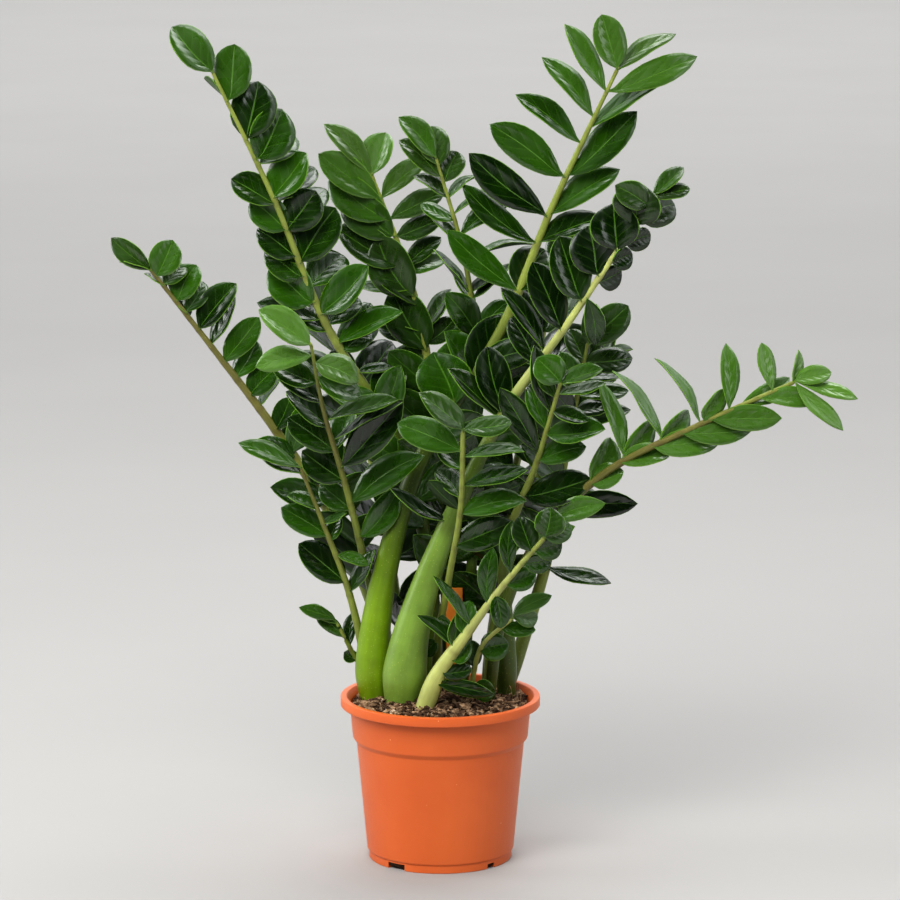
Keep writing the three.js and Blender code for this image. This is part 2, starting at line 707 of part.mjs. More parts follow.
function isClear(solid, obstacles) {
  const box = boxOf(solid);
  return obstacles.every((other) => !box.intersectsBox(other.box) || solid.intersect(other.solid).isEmpty());
}

// Finds the first bend in which a leaf is clear of everything, or else of all but its own frond's leaves.
function settleLeaf(frond, plan, obstacles) {
  const foreign = obstacles.filter((other) => other.owner !== frond.name);
  for (const others of [obstacles, foreign]) {
    for (const size of sizes) {
      for (const bend of bends) {
        const leaf = poseLeaf(frond, plan, bend, size);
        if (isClear(makeBlade(leaf, leafGap), others)) return leaf;
      }
    }
  }
  return null;
}

// ---- Assembly ----

const group = new THREE.Group();
group.name = "potted_zz_plant";

function addPiece(name, solid, colour, roughness) {
  const material = new THREE.MeshStandardMaterial({ color: colour, roughness, metalness: 0 });
  const mesh = new THREE.Mesh(toGeometry(solid), material);
  mesh.name = name;
  group.add(mesh);
}

for (const frond of fronds) {
  const points = frond.route.map((point) => new THREE.Vector3(...point));
  frond.curve = new THREE.CatmullRomCurve3(points, false, "catmullrom", 0.5);
  frond.length = frond.curve.getLength();
  frond.stem = makeStem(frond);
  frond.parts = [frond.stem];
}

const potSolid = makePot();
const soilSolid = makeSoil([...fronds.map((frond) => makeStem(frond, gap)), makeLabel(gap)]);
const labelSolid = makeLabel();
const obstacles = [potSolid, soilSolid, labelSolid].map((solid) => {
  return { owner: "", solid, box: boxOf(solid) };
});
for (const frond of fronds) {
  obstacles.push({ owner: `${frond.name} stem`, solid: frond.stem, box: boxOf(frond.stem) });
}

function growLeaves(frond, plans) {
  for (const plan of plans) {
    const others = obstacles.filter((other) => other.owner !== `${frond.name} stem`);
    const leaf = settleLeaf(frond, plan, others);
    if (!leaf) continue;
    const solid = makeBlade(leaf);
    frond.parts.push(solid);
    obstacles.push({ owner: frond.name, solid, box: boxOf(solid) });
  }
}

for (const frond of fronds) growLeaves(frond, planSingles(frond));
fronds.forEach((frond, number) => growLeaves(frond, planRows(frond, 101 + number)));
for (const frond of fronds) {
  addPiece(frond.name, wasm.Manifold.union(frond.parts), colours.leaf, 0.35);
}
addPiece("pot", potSolid, colours.pot, 0.5);
addPiece("soil", soilSolid, colours.soil, 0.95);
addPiece("plant_label", labelSolid, colours.label, 0.5);

export default group;
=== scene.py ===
import bisect
import math
import random
import bmesh
import bpy
from mathutils import Matrix, Vector, kdtree, noise


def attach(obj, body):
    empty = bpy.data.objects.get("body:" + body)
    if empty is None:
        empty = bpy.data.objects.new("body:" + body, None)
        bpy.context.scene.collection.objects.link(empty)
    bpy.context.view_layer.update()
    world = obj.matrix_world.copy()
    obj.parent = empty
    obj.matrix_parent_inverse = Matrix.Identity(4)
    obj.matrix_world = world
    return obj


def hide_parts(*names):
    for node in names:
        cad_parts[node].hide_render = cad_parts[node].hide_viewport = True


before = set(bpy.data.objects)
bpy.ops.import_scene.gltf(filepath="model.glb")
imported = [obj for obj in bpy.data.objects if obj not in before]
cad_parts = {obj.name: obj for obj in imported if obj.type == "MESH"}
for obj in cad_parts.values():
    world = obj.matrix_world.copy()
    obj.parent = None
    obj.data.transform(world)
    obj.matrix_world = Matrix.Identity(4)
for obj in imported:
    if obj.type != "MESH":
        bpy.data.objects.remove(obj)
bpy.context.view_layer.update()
mm = 0.001
print("frame loaded:", len(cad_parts), "nodes")


cameraView = {
    "place": (0.008238, -3.733736, 1.045039),  # metres, in the pot's own frame
    "pitch": 10.5,  # degrees below the horizon
    "lens": 180.0,
    "sensor": 36.0,
    "clip": (0.05, 100.0),
}
studio = {
    "floorColour": (0.345, 0.339, 0.332),
    "floorRadius": 14.0,
    "backdrop": (0.6, 0.59, 0.575),  # what the camera sees past the floor
    "ambient": 0.3,
    "mirrored": (0.0, 1.1),  # what gloss picks up in front of the plant, and beside and behind it
    "mirrorReach": (-0.1, 0.8),  # where between front and back that grows
    "mirrorSide": 0.7,  # how much beside counts as behind
    "tint": (0.96, 0.98, 1.0),
}
studioLights = [
    # name, place, target, size, watts, colour, seen in gloss
    ("keyLight", (-2.1, -2.7, 2.3), (0.0, 0.0, 0.3), (1.5, 1.5), 50.0, (1.0, 0.985, 0.955), False),
    ("frontLight", (-0.5, -1.8, 2.4), (0.0, -0.5, 0.0), (2.0, 1.4), 66.0, (1.0, 0.99, 0.97), False),
    ("sideLight", (-3.0, 0.2, 1.8), (0.0, 0.0, 0.35), (1.2, 2.2), 40.0, (1.0, 1.0, 1.0), True),
    ("topLight", (0.5, 0.8, 2.4), (0.0, 0.0, 0.4), (2.0, 1.4), 30.0, (1.0, 1.0, 1.0), True),
    ("fillLight", (2.4, -1.6, 1.3), (0.0, 0.0, 0.4), (0.8, 1.6), 9.0, (0.97, 0.985, 1.0), True),
    ("farLight", (0.0, 7.5, 5.0), (0.0, 7.5, 0.0), (10.0, 10.0), 690.0, (1.0, 1.0, 1.0), False),
]


def newObject(name, data):
    made = bpy.data.objects.new(name, data)
    bpy.context.collection.objects.link(made)
    return made


def newMesh(bm, name):
    mesh = bpy.data.meshes.new(name)
    bm.to_mesh(mesh)
    bm.free()
    return mesh


def placeCamera():
    data = bpy.data.cameras.new("photoCamera")
    data.lens = cameraView["lens"]
    data.sensor_width = cameraView["sensor"]
    data.clip_start, data.clip_end = cameraView["clip"]
    camera = newObject("photoCamera", data)
    camera.location = cameraView["place"]
    camera.rotation_euler = (math.radians(90 - cameraView["pitch"]), 0.0, 0.0)
    bpy.context.scene.camera = camera
    bpy.context.scene.view_settings.view_transform = "Standard"
    bpy.context.scene.view_settings.look = "Medium High Contrast"


def placeLights():
    for name, place, target, size, watts, colour, shiny in studioLights:
        data = bpy.data.lights.new(name, "AREA")
        data.shape = "RECTANGLE"
        data.size, data.size_y = size
        data.energy = watts
        data.color = colour
        lamp = newObject(name, data)
        lamp.location = place
        lamp.visible_glossy = shiny
        aim = Vector(target) - Vector(place)
        lamp.rotation_euler = aim.to_track_quat("-Z", "Y").to_euler()


def lightRoom():
    # the room is pale to the camera, dim in gloss, and a soft fill for everything else
    world = bpy.data.worlds.new("studioRoom")
    world.use_nodes = True
    tree = world.node_tree
    tree.nodes.clear()
    ray = addNode(tree, "LightPath", {})
    heading = addNode(tree, "TexCoord", {}).outputs["Generated"]
    split = addNode(tree, "SeparateXYZ", {0: heading})
    beside = multiply(tree, doMath(tree, "ABSOLUTE", split.outputs[0]), studio["mirrorSide"])
    depth = doMath(tree, "ADD", split.outputs[1], beside)
    mirrored = mapRange(tree, depth, *studio["mirrorReach"], *studio["mirrored"])
    mixed = None
    for test, colour, strength in (
        (None, "tint", studio["ambient"]),
        ("Is Glossy Ray", "tint", mirrored),
        ("Is Camera Ray", "backdrop", 1.0),
    ):
        glow = addNode(tree, "Background", {"Color": studio[colour], "Strength": strength})
        if test:
            sockets = {0: ray.outputs[test], 1: mixed, 2: glow.outputs[0]}
            glow = addNode(tree, "MixShader", sockets)
        mixed = glow.outputs[0]
    addNode(tree, "OutputWorld", {"Surface": mixed})
    bpy.context.scene.world = world


def smoothStep(value, low, high):
    share = min(max((value - low) / (high - low), 0.0), 1.0)
    return share * share * (3 - 2 * share)


def mixNumbers(low, high, share):
    return low + (high - low) * share


def newMaterial(name):
    material = bpy.data.materials.new(name)
    material.use_nodes = True
    tree = material.node_tree
    place = addNode(tree, "TexCoord", {}).outputs["Object"]
    return material, tree, tree.nodes["Principled BSDF"], place


def plug(tree, socket, value):
    if isinstance(value, bpy.types.NodeSocket):
        tree.links.new(value, socket)
    elif isinstance(value, tuple):
        socket.default_value = (*value, 1.0)
    else:
        socket.default_value = value


def addNode(tree, kind, sockets, **settings):
    made = tree.nodes.new("ShaderNode" + kind)
    for setting, value in settings.items():
        setattr(made, setting, value)
    for socket, value in sockets.items():
        plug(tree, made.inputs[socket], value)
    return made


def doMath(tree, operation, *values):
    return addNode(tree, "Math", dict(enumerate(values)), operation=operation).outputs[0]


def multiply(tree, first, second):
    return doMath(tree, "MULTIPLY", first, second)


def mapRange(tree, *values):
    # the value, the range it comes from and the range it goes to, 0 to 1 where that is left out
    values = dict(enumerate(values))
    return addNode(tree, "MapRange", values, interpolation_type="SMOOTHSTEP").outputs[0]


def mixColours(tree, share, first, second, blend="MIX"):
    sockets = {0: share, 6: first, 7: second}
    return addNode(tree, "Mix", sockets, data_type="RGBA", blend_type=blend).outputs[2]


def addNoise(tree, place, scale, detail=3.0, roughness=0.55):
    sockets = {"Vector": place, "Scale": scale, "Detail": detail, "Roughness": roughness}
    return addNode(tree, "TexNoise", sockets).outputs["Fac"]


def addDots(tree, place, scale, inner, outer, strength):
    dots = addNode(tree, "TexVoronoi", {"Vector": place, "Scale": scale})
    return mapRange(tree, dots.outputs["Distance"], inner, outer, strength, 0.0)


def addBump(tree, shader, height, strength, distance):
    sockets = {"Strength": strength, "Distance": distance, "Height": height}
    plug(tree, shader.inputs["Normal"], addNode(tree, "Bump", sockets).outputs["Normal"])


def setSurface(tree, shader, colour, roughness, specular=0.5):
    plug(tree, shader.inputs["Base Color"], colour)
    plug(tree, shader.inputs["Roughness"], roughness)
    shader.inputs["Specular IOR Level"].default_value = specular


def readAttribute(tree, name, output="Fac"):
    return addNode(tree, "Attribute", {}, attribute_name=name).outputs[output]


def finishPiece(bm, name, materials, node):
    mesh = newMesh(bm, name)
    piece = newObject(name, mesh)
    for material in materials:
        mesh.materials.append(material)
    mesh.shade_smooth()
    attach(piece, "root")
    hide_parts(node)
    return piece


def makeFloor():
    material, tree, shader, place = newMaterial("studioPaper")
    mottle = mapRange(tree, addNoise(tree, place, 1.6), 0.3, 0.7)
    pale = studio["floorColour"]
    dull = tuple(part * 0.975 for part in pale)
    setSurface(tree, shader, mixColours(tree, mottle, dull, pale), 0.75, 0.15)
    bm = bmesh.new()
    bmesh.ops.create_circle(bm, cap_ends=True, segments=96, radius=studio["floorRadius"])
    mesh = newMesh(bm, "studio_floor")
    mesh.materials.append(material)
    floor = newObject("studio_floor", mesh)


pot = {
    "height": 141.0,
    "rimRadius": 85.0,
    "rimBand": 8.0,
    "rimEdge": 1.5,
    "mouthRadius": 79.8,
    "mouthDepth": 5.5,
    "collarRadius": 77.4,
    "collarFoot": 74.6,
    "collarHeight": 35.5,
    "bodyRadius": 71.5,
    "bodyFoot": 62.6,
    "footRadius": 61.0,
    "footHeight": 7.6,
    "wall": 1.4,
    "floor": 1.6,
    "round": 0.7,
    "steps": 144,
    "roughness": (0.36, 0.5),
    "specular": 0.42,
    "light": (0.67, 0.145, 0.034),
    "deep": (0.6, 0.12, 0.028),
    "scratch": (0.85, 0.42, 0.25),
    "drainHoles": [(-38, 17.5, 5.5), (45, 8, 4.4), (142, 17.5, 5.5), (225, 8, 4.4)],  # angle, width, rise
    "drainDepth": 8.0,
}


def potMaterial():
    material, tree, shader, place = newMaterial("potPlastic")
    cloud = mapRange(tree, addNoise(tree, place, 9.0, 4.0), 0.3, 0.7)
    colour = mixColours(tree, cloud, pot["deep"], pot["light"])
    dots = addDots(tree, place, 165.0, 0.05, 0.1, 1.0)
    few = mapRange(tree, addNoise(tree, place, 60.0, 1.0), 0.6, 0.66)
    colour = mixColours(tree, multiply(tree, dots, few), colour, pot["scratch"])
    grain = addNoise(tree, place, 900.0, 2.0)
    setSurface(tree, shader, colour, mapRange(tree, grain, 0.2, 0.8, *pot["roughness"]), pot["specular"])
    addBump(tree, shader, grain, 0.08, 0.0004)
    return material


def bevel(bm, geom, offset, segments, affect):
    bmesh.ops.bevel(
        bm, geom=geom, offset=offset, offset_type="OFFSET", segments=segments, profile=0.5, affect=affect,
        material=-1,
    )


def spinProfile(bm, points, steps, rounding=0.0):
    verts = [bm.verts.new((x, 0.0, z)) for x, z in points]
    for pair in zip(verts, verts[1:]):
        bm.edges.new(pair)
    if rounding:
        bevel(bm, verts[1:-1], rounding, 3, "VERTICES")
    bmesh.ops.scale(bm, vec=(mm, mm, mm), verts=bm.verts[:])
    bmesh.ops.spin(
        bm, geom=bm.verts[:] + bm.edges[:], cent=(0, 0, 0), axis=(0, 0, 1), angle=math.tau, steps=steps,
        use_merge=True,
    )
    bmesh.ops.remove_doubles(bm, verts=bm.verts[:], dist=1e-6)
    bmesh.ops.recalc_face_normals(bm, faces=bm.faces[:])


def makePot():
    top, wall = pot["height"], pot["wall"]
    step = top - pot["collarHeight"]
    bandFoot, mouthFoot, rimFoot = top - pot["rimBand"], top - pot["mouthDepth"], top - pot["rimEdge"]
    inner = pot["rimRadius"] - pot["rimEdge"]
    outline = [
        (0.0, 0.0),
        (pot["footRadius"], 0.0),
        (pot["footRadius"], pot["footHeight"] - 1.0),
        (pot["bodyFoot"], pot["footHeight"] + 0.6),
        (pot["bodyRadius"], step - 4.0),
        (pot["collarFoot"], step),
        (pot["collarRadius"], mouthFoot),
        (pot["mouthRadius"] + 0.8, rimFoot),
        (inner, rimFoot),
        (inner, bandFoot),
        (pot["rimRadius"], bandFoot),
        (pot["rimRadius"], top),
        (pot["mouthRadius"], top),
        (pot["collarRadius"] - wall, mouthFoot),
        (pot["collarFoot"] - wall, step),
        (pot["bodyRadius"] - wall, step - 4.0),
        (pot["footRadius"] - wall, pot["floor"]),
        (0.0, pot["floor"]),
    ]
    bm = bmesh.new()
    spinProfile(bm, outline, pot["steps"], pot["round"])
    piece = finishPiece(bm, "pot_shell", [potMaterial()], "pot")
    cutDrainHoles(piece)


def cutDrainHoles(piece):
    bm = bmesh.new()
    middle = Matrix.Translation((0.0, -pot["footRadius"] * mm, 0.0))
    for angle, width, height in pot["drainHoles"]:
        turn = Matrix.Rotation(math.radians(angle), 4, "Z")
        size = Matrix.Diagonal((width * mm, 2 * pot["drainDepth"] * mm, 2 * height * mm, 1.0))
        bmesh.ops.create_cube(bm, size=1.0, matrix=turn @ middle @ size)
    cutter = newObject("drainCutter", newMesh(bm, "drainCutter"))
    cut = piece.modifiers.new("drainHoles", "BOOLEAN")
    cut.operation = "DIFFERENCE"
    cut.solver = "EXACT"
    cut.object = cutter
    shape = bpy.data.meshes.new_from_object(piece.evaluated_get(bpy.context.evaluated_depsgraph_get()))
    piece.modifiers.clear()
    old = piece.data
    piece.data = shape
    bpy.data.meshes.remove(old)
    bpy.data.objects.remove(cutter)
    shape.name = "pot_shell"
    shape.set_sharp_from_angle(angle=math.radians(35))


soil = {
    "edgeHeight": 134.0,
    "crown": 6.0,
    "lumps": 2.2,
    "rings": 34,
    "steps": 128,
    "crumbs": 2200,
    "pale": 34,  # crumbs of a light colour
    "barky": 0.34,  # share of the other crumbs that are bark
    "chips": 300,
    "chipSize": ((3.0, 8.0), (1.2, 3.2), (0.7, 1.5)),
    "fibres": 240,
    "roots": 8,
    "seed": 41,
    "dark": (0.02, 0.012, 0.008),
    "brown": (0.105, 0.06, 0.035),
    "tan": (0.42, 0.28, 0.17),
    "white": (0.72, 0.66, 0.58),
}


def peatMaterial(name, low, high, scale):
    material, tree, shader, place = newMaterial(name)
    grain = addNoise(tree, place, scale, 5.0, 0.65)
    colour = mixColours(tree, mapRange(tree, grain, 0.35, 0.66), low, high)
    setSurface(tree, shader, colour, 0.92, 0.25)
    addBump(tree, shader, grain, 0.9, 0.0012)
    return material


def soilTop(x, y):
    reach = min(math.hypot(x, y) / soilEdge(), 1.0)
    dome = soil["edgeHeight"] + soil["crown"] * (1 - reach * reach)
    lump = noise.fractal(Vector((x, y, 4.0)) * 0.11, 0.8, 2.1, 4)
    return dome + soil["lumps"] * lump * (1 - smoothStep(reach, 0.9, 1.0))


def soilEdge():
    flare = (pot["collarRadius"] - pot["collarFoot"]) / pot["collarHeight"]
    rise = soil["edgeHeight"] - (pot["height"] - pot["collarHeight"])
    return pot["collarFoot"] - pot["wall"] - 0.25 + flare * rise


def makeSoil():
    peat = peatMaterial("peatBed", soil["dark"], soil["brown"], 320.0)
    edge = soilEdge()
    foot = pot["footRadius"] - pot["wall"] - 0.6
    step = pot["height"] - pot["collarHeight"]
    profile = [
        (0.0, pot["floor"] + 0.3),
        (foot, pot["floor"] + 0.3),
        (pot["bodyRadius"] - pot["wall"] - 0.4, step - 4.2),
        (pot["collarFoot"] - pot["wall"] - 0.4, step),
    ]
    rings = soil["rings"]
    profile += [(edge * (1 - ring / rings), soil["edgeHeight"]) for ring in range(rings + 1)]
    bm = bmesh.new()
    spinProfile(bm, profile, soil["steps"])
    for vert in bm.verts:
        if vert.co.z > (soil["edgeHeight"] - 0.5) * mm:
            vert.co.z = soilTop(vert.co.x / mm, vert.co.y / mm) * mm
    finishPiece(bm, "soil_bed", [peat], "soil")
    makeCrumbs()


def scatterPlace(rng, nearEdge=0.98):
    radius = soilEdge() * nearEdge * math.sqrt(rng.random())
    angle = rng.uniform(0, math.tau)
    return radius * math.cos(angle), radius * math.sin(angle)


def anyTurn(rng, tilt, axis):
    turn = Matrix.Rotation(rng.uniform(0, math.tau), 4, "Z")
    return turn @ Matrix.Rotation(rng.uniform(-tilt, tilt), 4, axis)


def dent(rng, verts, reach):
    for vert in verts:
        vert.co += Vector([rng.uniform(-1, 1) * reach * mm for _ in range(3)])


def makeCrumbs():
    rng = random.Random(soil["seed"])
    shades = [
        peatMaterial("peatCrumb", soil["dark"], soil["brown"], 500.0),
        peatMaterial("barkCrumb", soil["brown"], soil["tan"], 260.0),
        peatMaterial("paleCrumb", soil["tan"], soil["white"], 400.0),
    ]
    bm = bmesh.new()
    for index in range(soil["crumbs"]):
        x, y = scatterPlace(rng)
        size = 0.7 + 2.6 * rng.random() ** 2
        shape = Matrix.Diagonal((rng.uniform(0.7, 2.1), rng.uniform(0.6, 1.2), rng.uniform(0.4, 0.9), 1.0))
        lift = soilTop(x, y) + size * rng.uniform(0.05, 0.5)
        place = Matrix.Translation(Vector((x, y, lift)) * mm) @ anyTurn(rng, 0.9, "X") @ shape
        made = bmesh.ops.create_icosphere(bm, subdivisions=1, radius=size * mm, matrix=place)
        tint = 2 if index < soil["pale"] else int(rng.random() < soil["barky"])
        dent(rng, made["verts"], 0.25 * size)
        for face in {face for vert in made["verts"] for face in vert.link_faces}:
            face.material_index = tint
    finishPiece(bm, "soil_crumbs", shades, "soil").data.shade_flat()

    bm = bmesh.new()
    for _ in range(soil["chips"]):
        x, y = scatterPlace(rng, 0.95)
        shape = Matrix.Diagonal([rng.uniform(*reach) * mm for reach in soil["chipSize"]] + [1.0])
        place = Matrix.Translation(Vector((x, y, soilTop(x, y) + rng.uniform(0.2, 1.4))) * mm)
        made = bmesh.ops.create_cube(bm, size=1.0, matrix=place @ anyTurn(rng, 0.5, "Y") @ shape)
        dent(rng, made["verts"], 0.4)
    finishPiece(bm, "soil_bark", [shades[1]], "soil").data.shade_flat()

    bm = bmesh.new()
    for _ in range(soil["fibres"]):
        x, y = scatterPlace(rng, 0.95)
        start = Vector((x, y, soilTop(x, y) + 0.4))
        heading, length, rise = rng.uniform(0, math.tau), rng.uniform(5, 14), rng.uniform(0.5, 4.5)
        makeFibre(bm, start, heading, length, rise, rng.uniform(-0.9, 0.9), rng.uniform(0.2, 0.55))
    for _ in range(soil["roots"]):
        angle, radius = rng.uniform(-0.15, 0.5), soilEdge() * rng.uniform(0.82, 0.93)
        x, y = radius * math.cos(angle), radius * math.sin(angle)
        start = Vector((x, y, soilTop(x, y)))
        rise = rng.uniform(6, 13)
        heading, length = rng.uniform(0, math.tau), rng.uniform(4, 9)
        makeFibre(bm, start, heading, length, rise, 0.6, rng.uniform(0.5, 0.9))
    finishPiece(bm, "soil_fibres", [shades[1]], "soil")


def makeFibre(bm, start, heading, length, rise, bend, thick):
    made = bmesh.ops.create_grid(bm, x_segments=3, y_segments=6, size=0.5)
    for vert in made["verts"]:
        around = (vert.co.x + 0.5) * math.tau
        along = vert.co.y + 0.5
        turn = heading + bend * along
        centre = start + Vector((math.cos(turn), math.sin(turn), 0.0)) * length * along
        centre.z += rise * math.sin(math.pi * min(along * 1.1, 1.0))
        side = Vector((-math.sin(turn), math.cos(turn), 0.0)) * math.cos(around)
        side.z = math.sin(around)
        vert.co = (centre + side * thick * (1 - 0.7 * along)) * mm
    bmesh.ops.remove_doubles(bm, verts=made["verts"], dist=1e-6)


label = {
    "x": 12.0,
    "y": 47.0,
    "width": 14.0,
    "thickness": 0.9,
    "top": 224.0,
    "shoulder": 128.0,
    "point": 108.0,
    "taper": 0.2,  # width of the point, as a share of the label's
    "round": 0.25,
    "colour": (0.72, 0.22, 0.03),
    "roughness": (0.35, 0.48),
}


def makeLabel():
    material, tree, shader, place = newMaterial("labelPlastic")
    grain = addNoise(tree, place, 120.0, 2.0)
    dark = tuple(part * 0.8 for part in label["colour"])
    gloss = mapRange(tree, grain, 0.2, 0.8, *label["roughness"])
    setSurface(tree, shader, mixColours(tree, grain, dark, label["colour"]), gloss)
    bm = bmesh.new()
    tall = label["top"] - label["shoulder"]
    middle = Vector((label["x"], label["y"], label["shoulder"] + tall / 2))
    size = Matrix.Diagonal((label["width"] * mm, label["thickness"] * mm, tall * mm, 1.0))
    bmesh.ops.create_cube(bm, size=1.0, matrix=Matrix.Translation(middle * mm) @ size)
    foot = min(bm.faces, key=lambda face: face.calc_center_median().z)
    pushed = bmesh.ops.extrude_discrete_faces(bm, faces=[foot])["faces"][0]
    bmesh.ops.translate(bm, verts=pushed.verts, vec=(0, 0, (label["point"] - label["shoulder"]) * mm))
    for vert in pushed.verts:
        vert.co.x = mixNumbers(label["x"] * mm, vert.co.x, label["taper"])
    bmesh.ops.remove_doubles(bm, verts=bm.verts[:], dist=1e-6)
    bevel(bm, bm.edges[:], label["round"] * mm, 2, "EDGES")
    bmesh.ops.recalc_face_normals(bm, faces=bm.faces[:])
    finishPiece(bm, "label_plate", [material], "plant_label")


# Each frond is one stem along a route in millimetres. radii: of the swollen foot, the slender stem and
# the tip. face: the way its upper side looks. leaves: single leaflets, with their share of the stem,
# angle around it, spread away from it, twist, length, width and, if given, how far the foot is moved
# sideways. rows: from and to as shares of the stem, count, around, spread at each end, length, width
# and twist. end: the last leaflet, with around, spread, length and width. tone: from deep green at 0
# to fresh at 1. young: how pale the tip's leaflets are. pale: how much paler all of them are, a painted
# sheen that stands in for the light they reflect. skin: the stem's colours from foot to tip; the moss
# colour among them is partly painted shade. more: leaflets that the plain solid doesn't have. Angles
# are in degrees.
# usualFrond has what a frond gets where its own entry leaves that out.
usualFrond = dict(
    leaves=(), rows=(), more=(), tone=0.5, young=0.1, pale=0.0, skin=("shadedMoss", "shadedMoss", "reed", "reed")
)
fronds = {}
fronds["frond_right_tall"] = dict(
    route=[
        (-55, 12, 102), (-57, 12, 180), (-41, 14, 270), (-12, 22, 350), (50, 31, 448), (97, 35, 561),
        (149, 19, 675),
    ],
    radii=(19.5, 8.5, 1.4),
    face=(-0.37, -0.84, -0.4),
    leaves=[
        (0.995, -96, 42, 26, 48, 28), (0.99, 139, 38, 33, 63, 20, -1), (0.96, 114, 34, 35, 83, 25, 3),
        (0.9, 118, 30, 43, 83, 23), (0.83, 119, 24, 19, 82, 30, 3), (0.77, 106, 32, 28, 73, 27),
        (0.73, 102, 42, 33, 60, 25, -1), (0.96, -90, 56, 53, 67, 23, -1), (0.92, -88, 62, 49, 67, 22, -1),
        (0.88, -83, 75, 48, 69, 22, -2), (0.83, -81, 79, 21, 78, 30, -3), (0.77, -79, 73, 18, 86, 30, 2),
        (0.73, -78, 71, 36, 81, 22, -2), (0.66, -78, 71, 24, 80, 25), (0.66, 162, 18, 1, 45, 37),
        (0.53, -81, 4, -5, 60, 36, -2), (0.48, -81, 56, 3, 48, 47, 3),
    ],
    rows=[(0.42, 0.54, 2, 58, 45, 40, 70, 32, 15)],
    young=0.3,
    # the moss colour in the middle paints the shade the leaves cast on this stem
    skin=("lime", "lime", "shadedMoss", "shadedMoss", "reed", "reed", "reed"),
)
fronds["frond_right_arching"] = dict(
    route=[
        (-35, -11, 106), (-25, -12, 195), (6, -14, 289), (55, -20, 391), (108, -33, 469), (177, -55, 577),
    ],
    radii=(27, 7.5, 1.6),
    face=(-0.33, 0.68, 0.65),
    leaves=[
        (0.73, 37, 58, -167, 63, 30), (0.79, 36, 54, -160, 58, 35, -2), (0.84, 33, 48, -155, 43, 40, -3),
        (0.89, 36, 39, -151, 39, 41), (0.94, 36, 21, -142, 34, 41, 1), (0.98, 27, 88, 159, 32, 23, -1),
        (0.995, -124, 44, 87, 31, 18, 1), (0.995, -77, 33, 100, 36, 16, -1), (0.95, -86, 49, 148, 38, 30),
        (0.91, -108, 54, 167, 24, 20, 2), (0.87, -103, 48, 164, 20, 20, 1), (0.83, -93, 47, 153, 24, 22, 1),
        (0.8, -140, 134, -156, 43, 18, -1), (0.68, 40, 67, 153, 67, 18, 1), (0.66, 18, 70, -163, 48, 25),
        (0.56, 22, 45, -150, 61, 30, 3), (0.55, 50, 68, 147, 62, 22, 1), (0.36, 55, 76, 139, 59, 15),
    ],
    rows=[(0.42, 0.56, 2, -65, 60, 56, 50, 24, 15)],
    # tone near 0 is painted shade: these leaflets are darkened for the shade they sit in
    tone=0.05,
    skin=("apple", "apple", "apple", "shadedMoss", "straw", "straw", "straw"),
)
fronds["frond_right_inner"] = dict(
    route=[(57, 18, 107), (56, 16, 185), (56, 0, 271), (81, -24, 347), (100, -53, 420)],
    radii=(15, 6, 1.4),
    face=(-0.15, 0.7, 0.69),
    leaves=[
        (0.995, 59, 57, 157, 29, 27, 1), (0.99, -98, 49, 97, 38, 18, -1), (0.96, -95, 64, 87, 42, 17),
        (0.91, -120, 84, 115, 31, 17), (0.84, -114, 63, 120, 51, 25, 1), (0.76, -112, 52, 121, 43, 22, 1),
        (0.65, -122, 47, 123, 60, 30, 2), (0.95, 31, 53, 169, 30, 13), (0.9, 29, 45, 174, 60, 20),
        (0.85, 31, 53, 169, 44, 17), (0.78, 44, 48, 169, 66, 23, -1),
    ],
    rows=[(0.42, 0.58, 3, 65, 50, 45, 54, 24, 15)],
)
fronds["frond_right_behind"] = dict(
    route=[(50, 36, 103), (62, 40, 150), (89, 56, 236), (102, 65, 304), (114, 65, 371), (126, 53, 438)],
    radii=(7, 7.5, 1.2),
    face=(0.05, -0.84, 0.54),
    leaves=[
        (0.99, 117, 41, 21, 48, 29, 1), (0.94, 99, 72, 40, 42, 24, -1), (0.9, 103, 76, 51, 33, 19),
        (0.85, 103, 75, 63, 45, 19, 1), (0.81, 97, 71, 45, 31, 19, 2), (0.77, 104, 64, 51, 54, 21),
        (0.995, 177, 26, 9, 34, 20), (0.94, -135, 48, 25, 33, 20, 1), (0.55, 82, 73, 19, 72, 24),
        (0.57, 92, 73, 24, 38, 22, 2), (0.41, 88, 82, 41, 58, 19, 1), (0.86, -132, 48, 24, 40, 21),
    ],
    rows=[(0.46, 0.8, 5, -55, 56, 50, 56, 28, 10)],
    skin=("shadedMoss", "reed", "reed"),
)
fronds["frond_right_level"] = dict(
    route=[(40, 0, 106), (50, -7, 200), (82, -17, 278), (137, -29, 338), (213, -43, 381), (296, -47, 420)],
    radii=(6, 5.6, 1.6),
    face=(-0.6, -0.72, -0.35),
    leaves=[
        (0.8, -102, 91, 65, 66, 20, -1), (0.72, -102, 93, 65, 72, 22, 1), (0.64, -102, 74, 53, 70, 20, -1),
        (0.86, -107, 66, 25, 57, 17, -1), (0.95, -106, 77, 42, 42, 17, -1), (0.99, -111, 46, 29, 28, 12, 1),
        (0.92, 76, 25, 41, 53, 18, 1), (0.82, 71, 14, 30, 61, 23), (0.76, 82, 19, 31, 58, 23),
        (0.7, 89, 20, 31, 55, 25, 2), (0.63, 96, 21, 32, 42, 22), (0.56, 109, 16, 18, 30, 23),
        (0.88, 178, 22, 35, 55, 18), (0.81, -149, 34, 11, 32, 17, -4), (0.71, -164, 33, 11, 43, 20),
        (0.63, -154, 36, 18, 49, 22), (0.56, -134, 35, 23, 44, 25, -2), (0.995, 84, 38, 55, 55, 15),
        (0.995, 118, 25, 36, 33, 17, -1), (0.995, 68, 56, 44, 57, 18, 1),
    ],
    rows=[(0.38, 0.46, 2, 54, 34, 30, 60, 24, 0)],
    # tone, young and pale here are a painted highlight: these leaflets are made paler for the sheen they
    # catch
    pale=0.3,
    tone=1,
    young=0.35,
    skin=("shadedMoss", "shadedMoss", "bark", "bark", "reed"),
)
